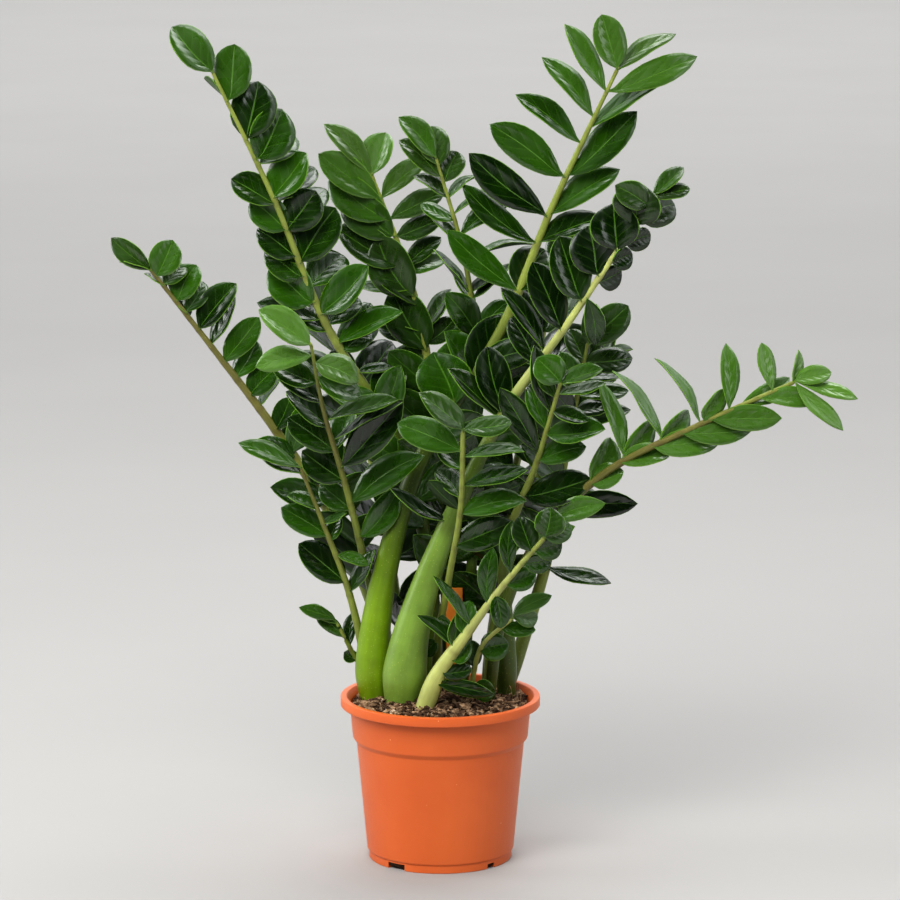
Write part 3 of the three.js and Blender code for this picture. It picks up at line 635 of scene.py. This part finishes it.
fronds["frond_front_low"] = dict(
    route=[(-24, -35, 106), (-3, -38, 165), (24, -50, 208), (55, -72, 255), (87, -100, 299)],
    radii=(16.8, 4.9, 1.8),
    face=(-0.17, 0.6, 0.78),
    leaves=[
        (0.995, 6, 36, -148, 25, 26), (0.91, 30, 64, 174, 31, 22), (0.78, 21, 43, -168, 46, 15, -2),
        (0.62, 27, 33, -154, 48, 17, -1), (0.5, 44, 64, 144, 54, 13, -1), (0.54, 0, 42, 147, 32, 22, -3),
        (0.39, 49, 75, 136, 42, 13), (0.99, -78, 46, 135, 26, 20), (0.92, -91, 53, 135, 25, 20),
        (0.85, -101, 59, 141, 25, 18), (0.73, -90, 49, 137, 28, 20), (0.67, -163, 122, -161, 28, 17),
    ],
    more=[
        (0.39, -8, 40, 145, 33, 19, -2), (0.35, -85, 29, 132, 24, 15, 5), (0.3, -127, 60, 130, 26, 15, 4),
        (0.24, -140, 74, 138, 51, 14), (0.46, -3, 45, 138, 31, 17, -3),
    ],
    skin=("straw", "straw", "straw", "reed"),
)
fronds["frond_front_upright"] = dict(
    route=[(-2, 39, 104), (-3, 13, 177), (7, -21, 245), (17, -57, 314), (19, -85, 386)],
    radii=(5, 3.8, 2),
    face=(0.08, 0.77, 0.63),
    leaves=[
        (0.995, 89, 42, 140, 48, 23, 3), (0.995, -98, 70, 105, 43, 21, -1), (0.91, -96, 67, 102, 52, 17, 1),
        (0.82, -96, 65, 116, 60, 20), (0.73, -94, 59, 133, 57, 23), (0.62, -90, 52, 136, 53, 27),
        (0.93, 73, 75, 139, 61, 28), (0.87, 40, 66, 140, 35, 20), (0.78, 38, 75, 134, 38, 20),
    ],
    rows=[(0.5, 0.74, 2, 75, 59, 55, 44, 20, 15)],
    more=[(0.28, 133, 122, 149, 17, 15, 1), (0.38, -143, 129, 151, 24, 14, 3)],
    young=0.12,
    skin=("shadedMoss", "reed", "reed", "reed"),
)
fronds["frond_left_front"] = dict(
    route=[
        (-46, 38, 104), (-52, 38, 184), (-66, 19, 259), (-81, -12, 329), (-97, -50, 396), (-106, -93, 460),
    ],
    radii=(6, 4.6, 1.2),
    face=(0, 0.5, 0.87),
    leaves=[
        (0.99, 71, 51, 127, 52, 26), (0.96, 107, 84, 109, 48, 21), (0.94, -108, 101, 109, 39, 26),
        (0.9, -96, 119, 117, 41, 23, 1), (0.88, 74, 66, 117, 42, 26, -1), (0.82, 67, 51, 117, 50, 23),
        (0.75, 65, 46, 118, 47, 25, -1), (0.68, 72, 47, 122, 50, 27), (0.6, 74, 47, 134, 44, 30),
        (0.52, 61, 51, 135, 36, 25), (0.77, -79, 79, 92, 63, 20), (0.71, -67, 75, 87, 68, 17),
        (0.64, -66, 56, 154, 80, 32, 2), (0.54, -73, 62, 146, 74, 29, 1), (0.45, -68, 51, 155, 54, 24, 3),
        (0.68, -33, 70, 136, 42, 23),
    ],
    rows=[(0.3, 0.42, 3, 65, 50, 45, 60, 26, 15)],
    young=0.55,
    skin=("shadedMoss", "shadedMoss", "reed", "bark", "reed"),
)
fronds["frond_left_tall"] = dict(
    route=[(-7, 57, 104), (-9, 60, 230), (-34, 54, 345), (-96, 41, 452), (-140, 22, 564), (-190, 1, 674)],
    radii=(9, 6.8, 1.3),
    face=(0.12, -0.96, 0.27),
    leaves=[
        (0.995, -154, 23, 15, 52, 32), (0.95, 108, 38, 24, 49, 33, 3), (0.89, 103, 43, 19, 51, 39, -1),
        (0.86, 92, 48, 20, 48, 39, 3), (0.8, 87, 59, 31, 47, 35, -1), (0.95, -169, 47, 65, 32, 23, 2),
        (0.85, 119, 90, 54, 51, 28, 3), (0.79, 122, 82, 60, 56, 29, -1), (0.79, -123, 40, 29, 44, 27, -2),
        (0.75, -122, 32, 11, 40, 29, -1), (0.71, -119, 34, 13, 41, 30, -2), (0.68, -118, 35, 13, 40, 30, -4),
        (0.64, -119, 32, 6, 49, 36, -5), (0.61, -126, 53, 47, 62, 22, -4), (0.75, 93, 46, 25, 42, 35, -1),
        (0.76, 118, 80, 49, 57, 27, 4), (0.7, 89, 54, 26, 56, 39), (0.66, 113, 68, 42, 47, 32),
        (0.62, 78, 64, 35, 60, 31, -1), (0.6, 111, 80, 35, 40, 31, -1), (0.57, 74, 79, 53, 62, 26),
        (0.59, -173, 38, 12, 33, 22, -3), (0.52, 77, 106, 62, 31, 14), (0.48, 83, 82, 26, 36, 29),
    ],
    rows=[(0.28, 0.46, 3, -60, 50, 45, 62, 30, 20), (0.32, 0.45, 2, 55, 55, 50, 62, 32, 20)],
    more=[(0.52, -156, 29, 5, 31, 26, -3), (0.56, 92, 90, 36, 32, 22, 2)],
    tone=0.6,
    skin=("shadedMoss", "shadedMoss", "shadedMoss", "reed", "reed", "reed"),
)
fronds["frond_far_left"] = dict(
    route=[
        (-34, 50, 103), (-53, 58, 193), (-89, 61, 276), (-138, 58, 355), (-192, 48, 430), (-245, 30, 503),
    ],
    radii=(9, 7.6, 1.4),
    face=(0.15, -0.89, 0.43),
    leaves=[
        (0.995, -153, 20, -3, 44, 19), (0.99, -129, 35, 55, 30, 17), (0.98, 77, 62, 31, 34, 27),
        (0.95, -174, 33, 54, 24, 17), (0.96, 95, 87, 43, 28, 20, 2), (0.92, 75, 68, 36, 36, 29, 2),
        (0.89, 101, 74, 46, 35, 20), (0.88, 170, 30, -41, 21, 17), (0.85, 75, 66, 35, 51, 27),
        (0.81, 82, 63, 64, 47, 20), (0.77, 72, 73, 36, 49, 24, -1), (0.73, 91, 67, 41, 38, 22, -2),
        (0.69, 71, 77, 28, 32, 24, -1), (0.66, 83, 70, 74, 33, 17), (0.61, 75, 58, 30, 31, 19),
        (0.58, 90, 66, 28, 28, 19, 1),
    ],
    rows=[(0.34, 0.55, 3, -60, 45, 40, 52, 26, 20), (0.34, 0.56, 4, 50, 60, 55, 52, 28, 15)],
    tone=0.6,
    young=0.12,
    skin=("shadedMoss", "reed", "bark", "bark"),
)
fronds["frond_middle_back"] = dict(
    route=[(7, 65, 101), (6, 70, 198), (3, 74, 295), (-7, 78, 392), (-26, 83, 486), (-59, 90, 577)],
    radii=(6, 7.8, 1.4),
    face=(0.09, -0.99, 0.11),
    leaves=[
        (0.995, -109, 21, 9, 61, 21), (0.995, 110, 39, 26, 40, 29), (0.95, -93, 23, 9, 67, 29, -1),
        (0.91, -93, 32, 10, 65, 33, -1), (0.88, -93, 27, 10, 56, 34, -3), (0.83, -100, 43, 11, 66, 33, -4),
        (0.77, -75, 10, 2, 60, 39, -3), (0.75, -74, 25, 39, 49, 22, -1), (0.67, -85, 18, 8, 60, 38, 1),
        (0.95, 84, 66, 26, 52, 22, -1), (0.91, 83, 80, 31, 53, 22, -1), (0.88, 82, 89, 26, 42, 22, 2),
        (0.82, 90, 63, 27, 40, 19, -2), (0.78, -108, 66, 54, 50, 14, -4), (0.68, -116, 61, 59, 46, 19, -2),
        (0.7, -123, 59, 64, 41, 15, -3), (0.81, 102, 82, 27, 36, 21),
    ],
    rows=[(0.28, 0.6, 5, -60, 60, 45, 66, 34, 15), (0.3, 0.62, 5, 58, 70, 60, 64, 32, 15)],
    more=[
        (0.68, 102, 60, 29, 35, 21), (0.7, 117, 43, 38, 49, 19), (0.63, -107, 51, 13, 38, 26),
        (0.59, 98, 65, 19, 35, 26, -2),
    ],
    # pale paints a faint sheen on these leaflets
    pale=0.06,
    tone=0.4,
    young=0.3,
)
fronds["frond_middle_tall"] = dict(
    route=[(18, 60, 103), (24, 60, 202), (31, 61, 303), (32, 58, 403), (22, 51, 502), (-4, 38, 598)],
    radii=(6, 6, 1.2),
    face=(0.2, -0.97, 0.11),
    leaves=[
        (0.995, -126, 26, 12, 47, 22, -1), (0.98, 156, 29, -2, 37, 27), (0.96, -122, 30, 19, 48, 22, -2),
        (0.92, -127, 36, 41, 36, 17), (0.88, -116, 49, 51, 33, 17), (0.95, 116, 52, 36, 31, 24, 1),
        (0.92, 93, 68, 70, 34, 15), (0.89, 93, 69, 80, 41, 14), (0.85, 82, 65, 60, 53, 19, -1),
        (0.84, -135, 36, 39, 40, 17, -2), (0.74, -120, 27, 71, 54, 17, 1), (0.81, 87, 81, 83, 62, 15, 1),
        (0.75, 100, 60, 69, 29, 15), (0.81, 98, 82, 48, 22, 19, 1), (0.72, -153, 31, 43, 42, 17, 1),
        (0.74, 101, 59, 64, 48, 17, 3),
    ],
    rows=[(0.3, 0.68, 6, -50, 62, 45, 62, 32, 15), (0.3, 0.66, 5, 50, 68, 55, 60, 30, 15)],
    more=[(0.69, 100, 59, 48, 38, 19, 5), (0.71, -127, 56, 24, 27, 19, 3), (0.66, -123, 57, 24, 25, 22, 5)],
    young=0.15,
)
fronds["frond_left_low"] = dict(
    route=[(-58, 31, 108), (-66, 31, 169), (-79, 14, 231), (-98, -5, 288), (-117, -28, 343)],
    radii=(4.5, 4.4, 1.4),
    face=(-0.1, -0.9, 0.4),
    leaves=[
        (0.995, -109, 44, 72, 56, 20), (0.97, -122, 49, 72, 40, 18), (0.82, -113, 48, 62, 29, 17, 1),
        (0.71, -117, 42, 33, 47, 24), (0.52, -118, 37, 26, 53, 29), (0.76, 91, 81, 79, 22, 12),
        (0.69, 124, 52, 30, 23, 15), (0.63, 67, 111, 71, 28, 14), (0.48, 108, 42, 46, 45, 17),
    ],
    skin=("reed", "reed", "bark"),
)
fronds["shoot_left"] = dict(
    route=[(-53, 43, 107), (-60, 41, 140), (-75, 34, 169), (-89, 24, 199)],
    radii=(3.4, 3.2, 1.4),
    face=(-0.4, -0.3, 0.87),
    leaves=[
        (0.995, -134, 45, 38, 35, 17, 1), (0.98, -160, 41, 27, 33, 17), (0.84, 75, 37, 117, 31, 19),
        (0.72, 110, 42, 52, 31, 12), (0.59, -166, 32, -17, 13, 12),
    ],
    more=[(0.995, -127, 40, 7, 35, 12, 3), (0.97, -170, 46, -3, 32, 11), (0.83, -168, 32, -30, 30, 13)],
    skin=("shadedMoss", "reed"),
)
fronds["shoot_front"] = dict(
    route=[(30, -9, 106), (27, -12, 149), (35, -26, 189), (61, -46, 218)],
    radii=(3.4, 3.2, 1.4),
    face=(0.25, -0.75, 0.61),
    leaves=[
        (0.63, 92, 51, 34, 25, 25), (0.32, 45, 98, 33, 20, 19), (0.49, -163, 23, -2, 23, 15),
        (0.995, -179, 31, -2, 38, 15, -3), (0.995, 160, 49, 16, 24, 15, -2), (0.87, 146, 47, 19, 30, 15),
    ],
    young=0.2,
    skin=("reed", "straw"),
)
fronds["frond_back_left"] = dict(
    route=[(-22, 59, 104), (-30, 69, 152), (-52, 112, 285), (-76, 150, 370), (-104, 195, 445)],
    radii=(5.5, 5.5, 1.5),
    face=(0.3, -0.5, 0.8),
    rows=[(0.22, 0.96, 8, -65, 64, 44, 68, 36, 20), (0.27, 0.97, 8, 65, 64, 44, 68, 36, 20)],
    end=(0, 8, 54, 28),
    tone=0.2,
    skin=("shadedMoss", "reed", "straw"),
)
fronds["frond_back_right"] = dict(
    route=[(34, 50, 104), (41, 61, 152), (62, 106, 295), (80, 145, 385), (102, 190, 470)],
    radii=(5.5, 5.5, 1.5),
    face=(-0.2, -0.6, 0.75),
    rows=[(0.24, 0.96, 8, -65, 64, 44, 68, 36, 20), (0.29, 0.97, 8, 65, 64, 44, 68, 36, 20)],
    end=(0, 8, 54, 28),
    tone=0.2,
    skin=("shadedMoss", "reed", "straw"),
)
fronds["frond_back_side"] = dict(
    route=[(38, 40, 104), (46, 48, 190), (66, 66, 270), (96, 92, 340), (134, 122, 400)],
    radii=(5, 5, 1.5),
    face=(-0.5, -0.5, 0.8),
    rows=[(0.3, 0.96, 6, -65, 64, 44, 62, 32, 20), (0.35, 0.97, 6, 65, 64, 44, 62, 32, 20)],
    end=(0, 8, 50, 26),
    tone=0.2,
    skin=("shadedMoss", "reed", "straw"),
)


growth = {
    "buried": 28.0,
    "neck": 0.6,  # of the radius, where a stem starts in the soil
    "spread": 4.0,  # how far the leaflets of a row differ
    "around": 6.0,
    "twist": 8.0,
    "length": 0.06,
    "tone": 0.4,  # how far the leaflets of a frond differ in colour
    "youngEnd": (0.88, 0.98),  # where a stem's leaflets turn pale
    "arch": 0.07,
    "endShare": 0.995,
    "leafSeed": 7,
    "rowSeed": 101,
    "sizes": (1.0, 0.85, 0.7),
    "bends": (
        (0, 0), (9, 0), (-9, 0), (0, 11), (0, -11), (10, 12), (-10, 12), (10, -12), (-10, -12),
        (20, 0), (-20, 0), (0, 24), (0, -24), (20, 20), (-20, 20), (20, -20), (-20, -20), (0, 38), (0, -38),
    ),
}
leafShape = {
    "across": 4,
    "along": 11,
    "rows": (0.0, 0.04, 0.1, 0.2, 0.32, 0.45, 0.57, 0.68, 0.79, 0.88, 0.95, 1.0),
    "slim": (0.06, 0.07, 0.22, 0.52, 0.78, 0.96, 1.0, 0.95, 0.8, 0.57, 0.27, 0.0),
    "broad": (0.06, 0.08, 0.36, 0.69, 0.89, 0.98, 1.0, 0.96, 0.84, 0.64, 0.37, 0.0),
    "ratios": (0.32, 0.58),  # width by length of a slim blade and of a broad one
    "thickness": 0.8,
    "fold": (0.2, 0.6),
    "bulge": 0.06,
    "wave": 0.016,
    "lean": 0.06,
    "curl": (-0.06, 0.12),
    "roll": 22.0,  # degrees the blade turns from its foot to its tip, at most
    "foot": 0.9,  # how far in front of the stem's middle the blade starts, in stem radii
}
leafFaces = {
    "leafUpper": {
        "colours": ("deep", "fresh"),
        "clouds": 38.0,
        "sideVeins": 0.16,
        "rim": 0.6,
        "glossClouds": 55.0,
        "roughness": (0.2, 0.36),
        "specular": 0.85,
        "bump": (0.55, 0.001),
    },
    "leafUnder": {
        "colours": ("underDeep", "underFresh"),
        "clouds": 45.0,
        "sideVeins": 0.1,
        "rim": 0.0,
        "glossClouds": 45.0,
        "roughness": (0.3, 0.42),
        "specular": 0.45,
        "bump": (0.3, 0.0009),
    },
}
veins = {
    "midrib": (0.012, 0.05),
    "slant": 0.28,
    "pairs": 6.5,
    "line": 0.08,
    "joint": (0.05, 0.13),
    "edge": (0.955, 0.985),
}
stemShape = {
    "sides": (16, 28),  # of a slender stem and of a swollen one
    "swollen": 10.0,
    "step": 4.0,
    "node": 0.25,  # how far a node stands out
    "nodeLength": 2.4,
    "streaks": (9.0, 1.4, 1.0),
    "roughness": (0.34, 0.46),
}
leafColours = {
    "deep": (0.0022, 0.011, 0.0003),
    "fresh": (0.022, 0.08, 0.0011),
    "young": (0.12, 0.25, 0.04),
    "vein": (0.1, 0.24, 0.022),
    "rim": (0.16, 0.32, 0.03),
    "joint": (0.14, 0.22, 0.035),
    "underDeep": (0.005, 0.021, 0.001),
    "underFresh": (0.026, 0.085, 0.004),
}
stemColours = {
    "lime": (0.16, 0.27, 0.006),
    "apple": (0.165, 0.27, 0.04),
    # the dark olive of the stems deep among the leaves: partly their own green, partly painted shade
    "shadedMoss": (0.06, 0.1, 0.01),
    "straw": (0.42, 0.46, 0.14),
    "reed": (0.24, 0.29, 0.055),
    "bark": (0.155, 0.145, 0.035),
    "scar": (0.09, 0.06, 0.022),
}


def makeRoute(points):
    # marks hold the length of the curve up to each of its 200 steps
    route = {"points": [Vector(point) for point in points], "marks": [0.0]}
    last = routePoint(route, 0.0)
    for index in range(1, 201):
        here = routePoint(route, index / 200)
        route["marks"].append(route["marks"][-1] + (here - last).length)
        last = here
    return route


def routePoint(route, share):
    points = route["points"]
    place = (len(points) - 1) * share
    index = min(int(place), len(points) - 2)
    w = place - index
    before = points[index - 1] if index > 0 else 2 * points[0] - points[1]
    after = points[index + 2] if index + 2 < len(points) else 2 * points[-1] - points[-2]
    first, second = points[index], points[index + 1]
    leave, arrive = (second - before) * 0.5, (after - first) * 0.5
    cubic = (2 * first - 2 * second + leave + arrive) * w**3
    square = (-3 * first + 3 * second - 2 * leave - arrive) * w * w
    return cubic + square + leave * w + first


def evenShare(route, share):
    marks = route["marks"]
    target = share * marks[-1]
    low = min(bisect.bisect_right(marks, target), len(marks) - 1) - 1
    return (low + (target - marks[low]) / (marks[low + 1] - marks[low])) / (len(marks) - 1)


def directionAt(route, share):
    place = evenShare(route, share)
    ahead = routePoint(route, min(place + 1e-4, 1.0))
    return (ahead - routePoint(route, max(place - 1e-4, 0.0))).normalized()


def frameAt(frond, share):
    along = directionAt(frond["line"], share)
    face = Vector(frond["face"])
    face = (face - face.dot(along) * along).normalized()
    return along, face, along.cross(face)


def growthDraws(state):
    while True:
        state = (state * 16807) % 2147483647
        yield state / 2147483647


def leafPlan(*values):
    names = ("share", "around", "spread", "twist", "length", "width", "slip")
    return {"slip": 0.0, **dict(zip(names, values))}


def planLeaves(frond, seed):
    draws = growthDraws(seed)

    def about(reach):
        return reach * (2 * next(draws) - 1)

    plans = []
    for low, high, count, middle, spread0, spread1, length, width, twist in frond["rows"]:
        for index in range(count):
            rank = index / max(count - 1, 1)
            fullness = 0.78 + 0.22 * math.sin(math.pi * (0.1 + 0.8 * rank))
            spread = mixNumbers(spread0, spread1, rank) + about(growth["spread"])
            around = middle + about(growth["around"])
            turned = twist + about(growth["twist"])
            long = length * fullness * (1 + about(growth["length"]))
            share = mixNumbers(low, high, rank)
            plans.append(leafPlan(share, around, spread, turned, long, width * fullness))
    plans.sort(key=lambda plan: plan["share"])
    if "end" in frond:
        around, spread, length, width = frond["end"]
        plans.append(leafPlan(growth["endShare"], around, spread, 0, length, width))
    return [leafPlan(*leaf) for leaf in frond["leaves"]] + plans


def poseLeaf(frond, plan, bend=(0, 0), size=1.0):
    along, face, across = frameAt(frond, plan["share"])
    side = 1 if plan["around"] >= 0 else -1
    spread = math.radians(plan["spread"] + bend[0])
    turn = math.radians(plan["around"] + bend[1] * side)
    twist = math.radians(plan["twist"])
    outward = face * math.cos(turn) + across * math.sin(turn)
    direction = outward * math.sin(spread) + along * math.cos(spread)
    upper = (face - face.dot(direction) * direction).normalized()
    forward = along - along.dot(direction) * direction
    forward = (forward - forward.dot(upper) * upper).normalized()
    upper = upper * math.cos(twist) + forward * math.sin(twist)
    return {
        "base": routePoint(frond["line"], evenShare(frond["line"], plan["share"])),
        "direction": direction,
        "upper": upper,
        "sideways": direction.cross(upper),
        "length": plan["length"] * size,
        "width": plan["width"] * size,
        "share": plan["share"],
        "slip": plan["slip"],
        "stem": stemRadius(frond, plan["share"]),
    }


def solidTips(node):
    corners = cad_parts[node].data.vertices
    tree = kdtree.KDTree(len(corners))
    for index, corner in enumerate(corners):
        tree.insert(corner.co, index)
    tree.balance()
    return tree


def settleLeaf(frond, plan, tips):
    # the solid frond holds the pose that was free of its neighbours: its tip says which
    for size in growth["sizes"]:
        for bend in growth["bends"]:
            leaf = poseLeaf(frond, plan, bend, size)
            drop = leaf["upper"] * growth["arch"] * leaf["length"]
            tip = leaf["base"] + leaf["direction"] * leaf["length"] - drop
            if tips.find(tip * mm)[2] < 0.1 * mm:
                return leaf
    return None


def addLeaf(bm, leaf, tone, ageAndSheen, rng):
    shape = leafShape
    across, steps = shape["across"], shape["along"]
    made = bmesh.ops.create_grid(bm, x_segments=across, y_segments=steps, size=0.5, calc_uvs=True)
    toneLayer = bm.verts.layers.float["leafTone"]
    ageSheenLayer = bm.verts.layers.float["leafAgeAndSheen"]
    length, width = leaf["length"], leaf["width"]
    breadth = smoothStep(width / length, *shape["ratios"])
    reaches = [mixNumbers(*pair, breadth) for pair in zip(shape["slim"], shape["broad"])]
    phase = rng.uniform(0, 1)
    lean = rng.uniform(-shape["lean"], shape["lean"])
    fold = rng.uniform(*shape["fold"])
    curl = rng.uniform(*shape["curl"])
    roll = math.radians(rng.uniform(-shape["roll"], shape["roll"]))
    for vert in made["verts"]:
        row = round((vert.co.y + 0.5) * steps)
        along, x = shape["rows"][row], vert.co.x * 2
        reach = width / 2 * reaches[row]
        rise = fold * abs(x) + shape["bulge"] * math.sin(math.pi * abs(x))
        height = rise * reach - growth["arch"] * length * along**2 - curl * length * along**4
        height += shape["foot"] * leaf["stem"] * (1 - along) ** 3
        ripple = math.sin(math.tau * (1.4 * along + phase)) * reaches[row]
        height += shape["wave"] * length * abs(x) * ripple
        sway = lean * length * math.sin(math.pi * along)
        sway += leaf["slip"] * smoothStep(along, 0.0, 0.15) * (1 - along)
        turn = roll * along
        sideways = leaf["sideways"] * math.cos(turn) + leaf["upper"] * math.sin(turn)
        upper = leaf["upper"] * math.cos(turn) - leaf["sideways"] * math.sin(turn)
        place = leaf["base"] + leaf["direction"] * (length * along)
        place += sideways * (x * reach + sway) + upper * height
        vert.co = place * mm
        vert[toneLayer], vert[ageSheenLayer] = tone, ageAndSheen


def stemRadius(frond, share):
    foot, stem, tip = frond["radii"]
    rest = 1 - share
    smooth = mixNumbers(tip, stem, rest) + (foot - stem) * rest**4
    length = frond["line"]["marks"][-1]
    swell = smoothStep(share * length, growth["buried"] - 8, growth["buried"] + 34)
    return smooth * mixNumbers(growth["neck"], 1.0, swell)


def stemColour(skin, share):
    place = share * (len(skin) - 1)
    index = min(int(place), len(skin) - 2)
    low, high = stemColours[skin[index]], stemColours[skin[index + 1]]
    return Vector(low).lerp(Vector(high), place - index)


def addStem(bm, frond, leaves):
    length = frond["line"]["marks"][-1]
    sides = stemShape["sides"][frond["radii"][0] > stemShape["swollen"]]
    steps = round(length / stemShape["step"])
    tintLayer = bm.verts.layers.float_color.new("stemTint")
    scarLayer = bm.verts.layers.float.new("stemScar")
    uvLayer = bm.loops.layers.uv.new("stemUV")
    made = bmesh.ops.create_grid(bm, x_segments=sides, y_segments=steps, size=0.5, calc_uvs=True)
    joints = sorted({leaf["share"] for leaf in leaves})
    for vert in made["verts"]:
        share = min(max(vert.co.y + 0.5, 0.0), 1.0)
        angle = (vert.co.x + 0.5) * math.tau
        _, face, across = frameAt(frond, share)
        radius = stemRadius(frond, share)
        offs = [(share - joint) * length / stemShape["nodeLength"] for joint in joints]
        near = sum(math.exp(-(off**2)) for off in offs)
        radius += stemShape["node"] * min(near, 1.2)
        if share >= 1.0:
            radius *= 0.3
        ring = face * math.cos(angle) + across * math.sin(angle)
        vert.co = (routePoint(frond["line"], evenShare(frond["line"], share)) + ring * radius) * mm
        vert[tintLayer] = (*stemColour(frond["skin"], share), 1.0)
        vert[scarLayer] = min(near, 1.0)
    for face in bm.faces:
        for loop in face.loops:
            loop[uvLayer].uv.y *= length / 100
    bmesh.ops.remove_doubles(bm, verts=bm.verts[:], dist=1e-7)
    rims = [edge for edge in bm.edges if edge.is_boundary]
    bmesh.ops.holes_fill(bm, edges=rims, sides=0)
    bmesh.ops.recalc_face_normals(bm, faces=bm.faces[:])


def veinPattern(tree):
    uv = addNode(tree, "UVMap", {}, uv_map="leafUV")
    across, along, _ = addNode(tree, "SeparateXYZ", {0: uv.outputs[0]}).outputs
    off = multiply(tree, doMath(tree, "ABSOLUTE", doMath(tree, "SUBTRACT", across, 0.5)), 2.0)
    midrib = mapRange(tree, off, *veins["midrib"], 1.0, 0.0)
    arc = multiply(tree, doMath(tree, "POWER", off, 0.8), veins["slant"])
    phase = multiply(tree, doMath(tree, "SUBTRACT", along, arc), veins["pairs"])
    wave = doMath(tree, "PINGPONG", phase, 0.5)
    line = mapRange(tree, wave, 0.0, veins["line"], 1.0, 0.0)
    fade = mapRange(tree, off, 0.55, 1.0, 1.0, 0.0)
    quilt = multiply(tree, doMath(tree, "MINIMUM", wave, 0.34), fade)
    return {
        "midrib": midrib,
        "side": multiply(tree, line, fade),
        "height": doMath(tree, "SUBTRACT", quilt, multiply(tree, midrib, 0.7)),
        "edge": mapRange(tree, off, *veins["edge"]),
        "joint": mapRange(tree, along, *veins["joint"], 1.0, 0.0),
    }


def leafMaterial(name, look):
    material, tree, shader, place = newMaterial(name)
    lines = veinPattern(tree)
    shift = doMath(tree, "SUBTRACT", addNoise(tree, place, look["clouds"]), 0.5)
    tone = doMath(tree, "ADD", readAttribute(tree, "leafTone"), multiply(tree, shift, 0.9))
    deep, fresh = (leafColours[colour] for colour in look["colours"])
    colour = mixColours(tree, mapRange(tree, tone, 0.0, 1.0), deep, fresh)
    # paler towards the young colour with age, and by a painted sheen on fronds that are pale
    colour = mixColours(tree, readAttribute(tree, "leafAgeAndSheen"), colour, leafColours["young"])
    for part, amount, paint in (
        ("side", look["sideVeins"], "vein"),
        ("midrib", 0.6, "vein"),
        ("joint", 0.8, "joint"),
        ("edge", look["rim"], "rim"),
    ):
        share = multiply(tree, lines[part], amount)
        colour = mixColours(tree, share, colour, leafColours[paint])
    cloud = addNoise(tree, place, look["glossClouds"])
    gloss = mapRange(tree, cloud, 0.3, 0.7, *look["roughness"])
    setSurface(tree, shader, colour, gloss, look["specular"])
    addBump(tree, shader, lines["height"], *look["bump"])
    return material


def rimMaterial():
    material, tree, shader, place = newMaterial("leafRim")
    cloud = addNoise(tree, place, 60.0, 2.0)
    dark = tuple(part * 0.6 for part in leafColours["rim"])
    setSurface(tree, shader, mixColours(tree, cloud, dark, leafColours["rim"]), 0.4)
    return material


def stemMaterial():
    material, tree, shader, place = newMaterial("stemSkin")
    tint = readAttribute(tree, "stemTint", "Color")
    uv = addNode(tree, "UVMap", {}, uv_map="stemUV")
    streaks = addNode(tree, "Mapping", {"Vector": uv.outputs[0]})
    streaks.inputs["Scale"].default_value = stemShape["streaks"]
    cloud = mapRange(tree, addNoise(tree, place, 46.0, 4.0), 0.3, 0.7, 0.84, 1.08)
    grain = mapRange(tree, addNoise(tree, streaks.outputs[0], 2.0, 3.0), 0.3, 0.7, 0.92, 1.06)
    shade = multiply(tree, cloud, grain)
    colour = mixColours(tree, 1.0, tint, shade, "MULTIPLY")
    scar = multiply(tree, readAttribute(tree, "stemScar"), 0.35)
    colour = mixColours(tree, scar, colour, stemColours["scar"])
    dots = addDots(tree, place, 330.0, 0.1, 0.22, 0.3)
    colour = mixColours(tree, dots, colour, stemColours["straw"])
    setSurface(tree, shader, colour, mapRange(tree, cloud, 0.84, 1.08, *stemShape["roughness"]))
    addBump(tree, shader, addNoise(tree, place, 500.0, 2.0), 0.12, 0.0004)
    return material


def makeFronds():
    rng = random.Random(growth["leafSeed"])
    materials = [leafMaterial(*face) for face in leafFaces.items()] + [rimMaterial()]
    stemSkin = stemMaterial()
    missing = 0
    for index, (name, given) in enumerate(fronds.items()):
        frond = {**usualFrond, **given, "line": makeRoute(given["route"])}
        tips = solidTips(name)
        plans = planLeaves(frond, growth["rowSeed"] + index)
        settled = [settleLeaf(frond, plan, tips) for plan in plans]
        leaves = [leaf for leaf in settled if leaf]
        missing += len(settled) - len(leaves)
        bm = bmesh.new()
        addStem(bm, frond, leaves)
        leaves += [poseLeaf(frond, leafPlan(*leaf)) for leaf in frond["more"]]
        finishPiece(bm, name + "_stem", [stemSkin], name)
        bm = bmesh.new()
        bm.loops.layers.uv.new("leafUV")
        bm.verts.layers.float.new("leafTone")
        bm.verts.layers.float.new("leafAgeAndSheen")
        for leaf in leaves:
            ageAndSheen = smoothStep(leaf["share"], *growth["youngEnd"]) * frond["young"]
            # pale adds a painted sheen: whole fronds are lightened for the light their leaflets reflect
            ageAndSheen += frond["pale"] + max(rng.gauss(-0.06, 0.07), 0)
            tone = frond["tone"] + rng.uniform(-growth["tone"], growth["tone"])
            tone = min(max(tone, 0.0), 1.0)
            addLeaf(bm, leaf, tone, min(ageAndSheen, 1.0), rng)
        piece = finishPiece(bm, name + "_leaves", materials, name)
        blade = piece.modifiers.new("blade", "SOLIDIFY")
        blade.thickness = leafShape["thickness"] * mm
        blade.offset = 0.0
        blade.material_offset = 1
        blade.material_offset_rim = 2
    print("fronds made:", len(fronds), "with", missing, "leaflets left out as in the solids")


placeCamera()
placeLights()
lightRoom()
makeFloor()
print("camera, floor and lights set")
makePot()
makeSoil()
makeLabel()
print("pot, soil and label made")
makeFronds()

bpy.context.view_layer.update()
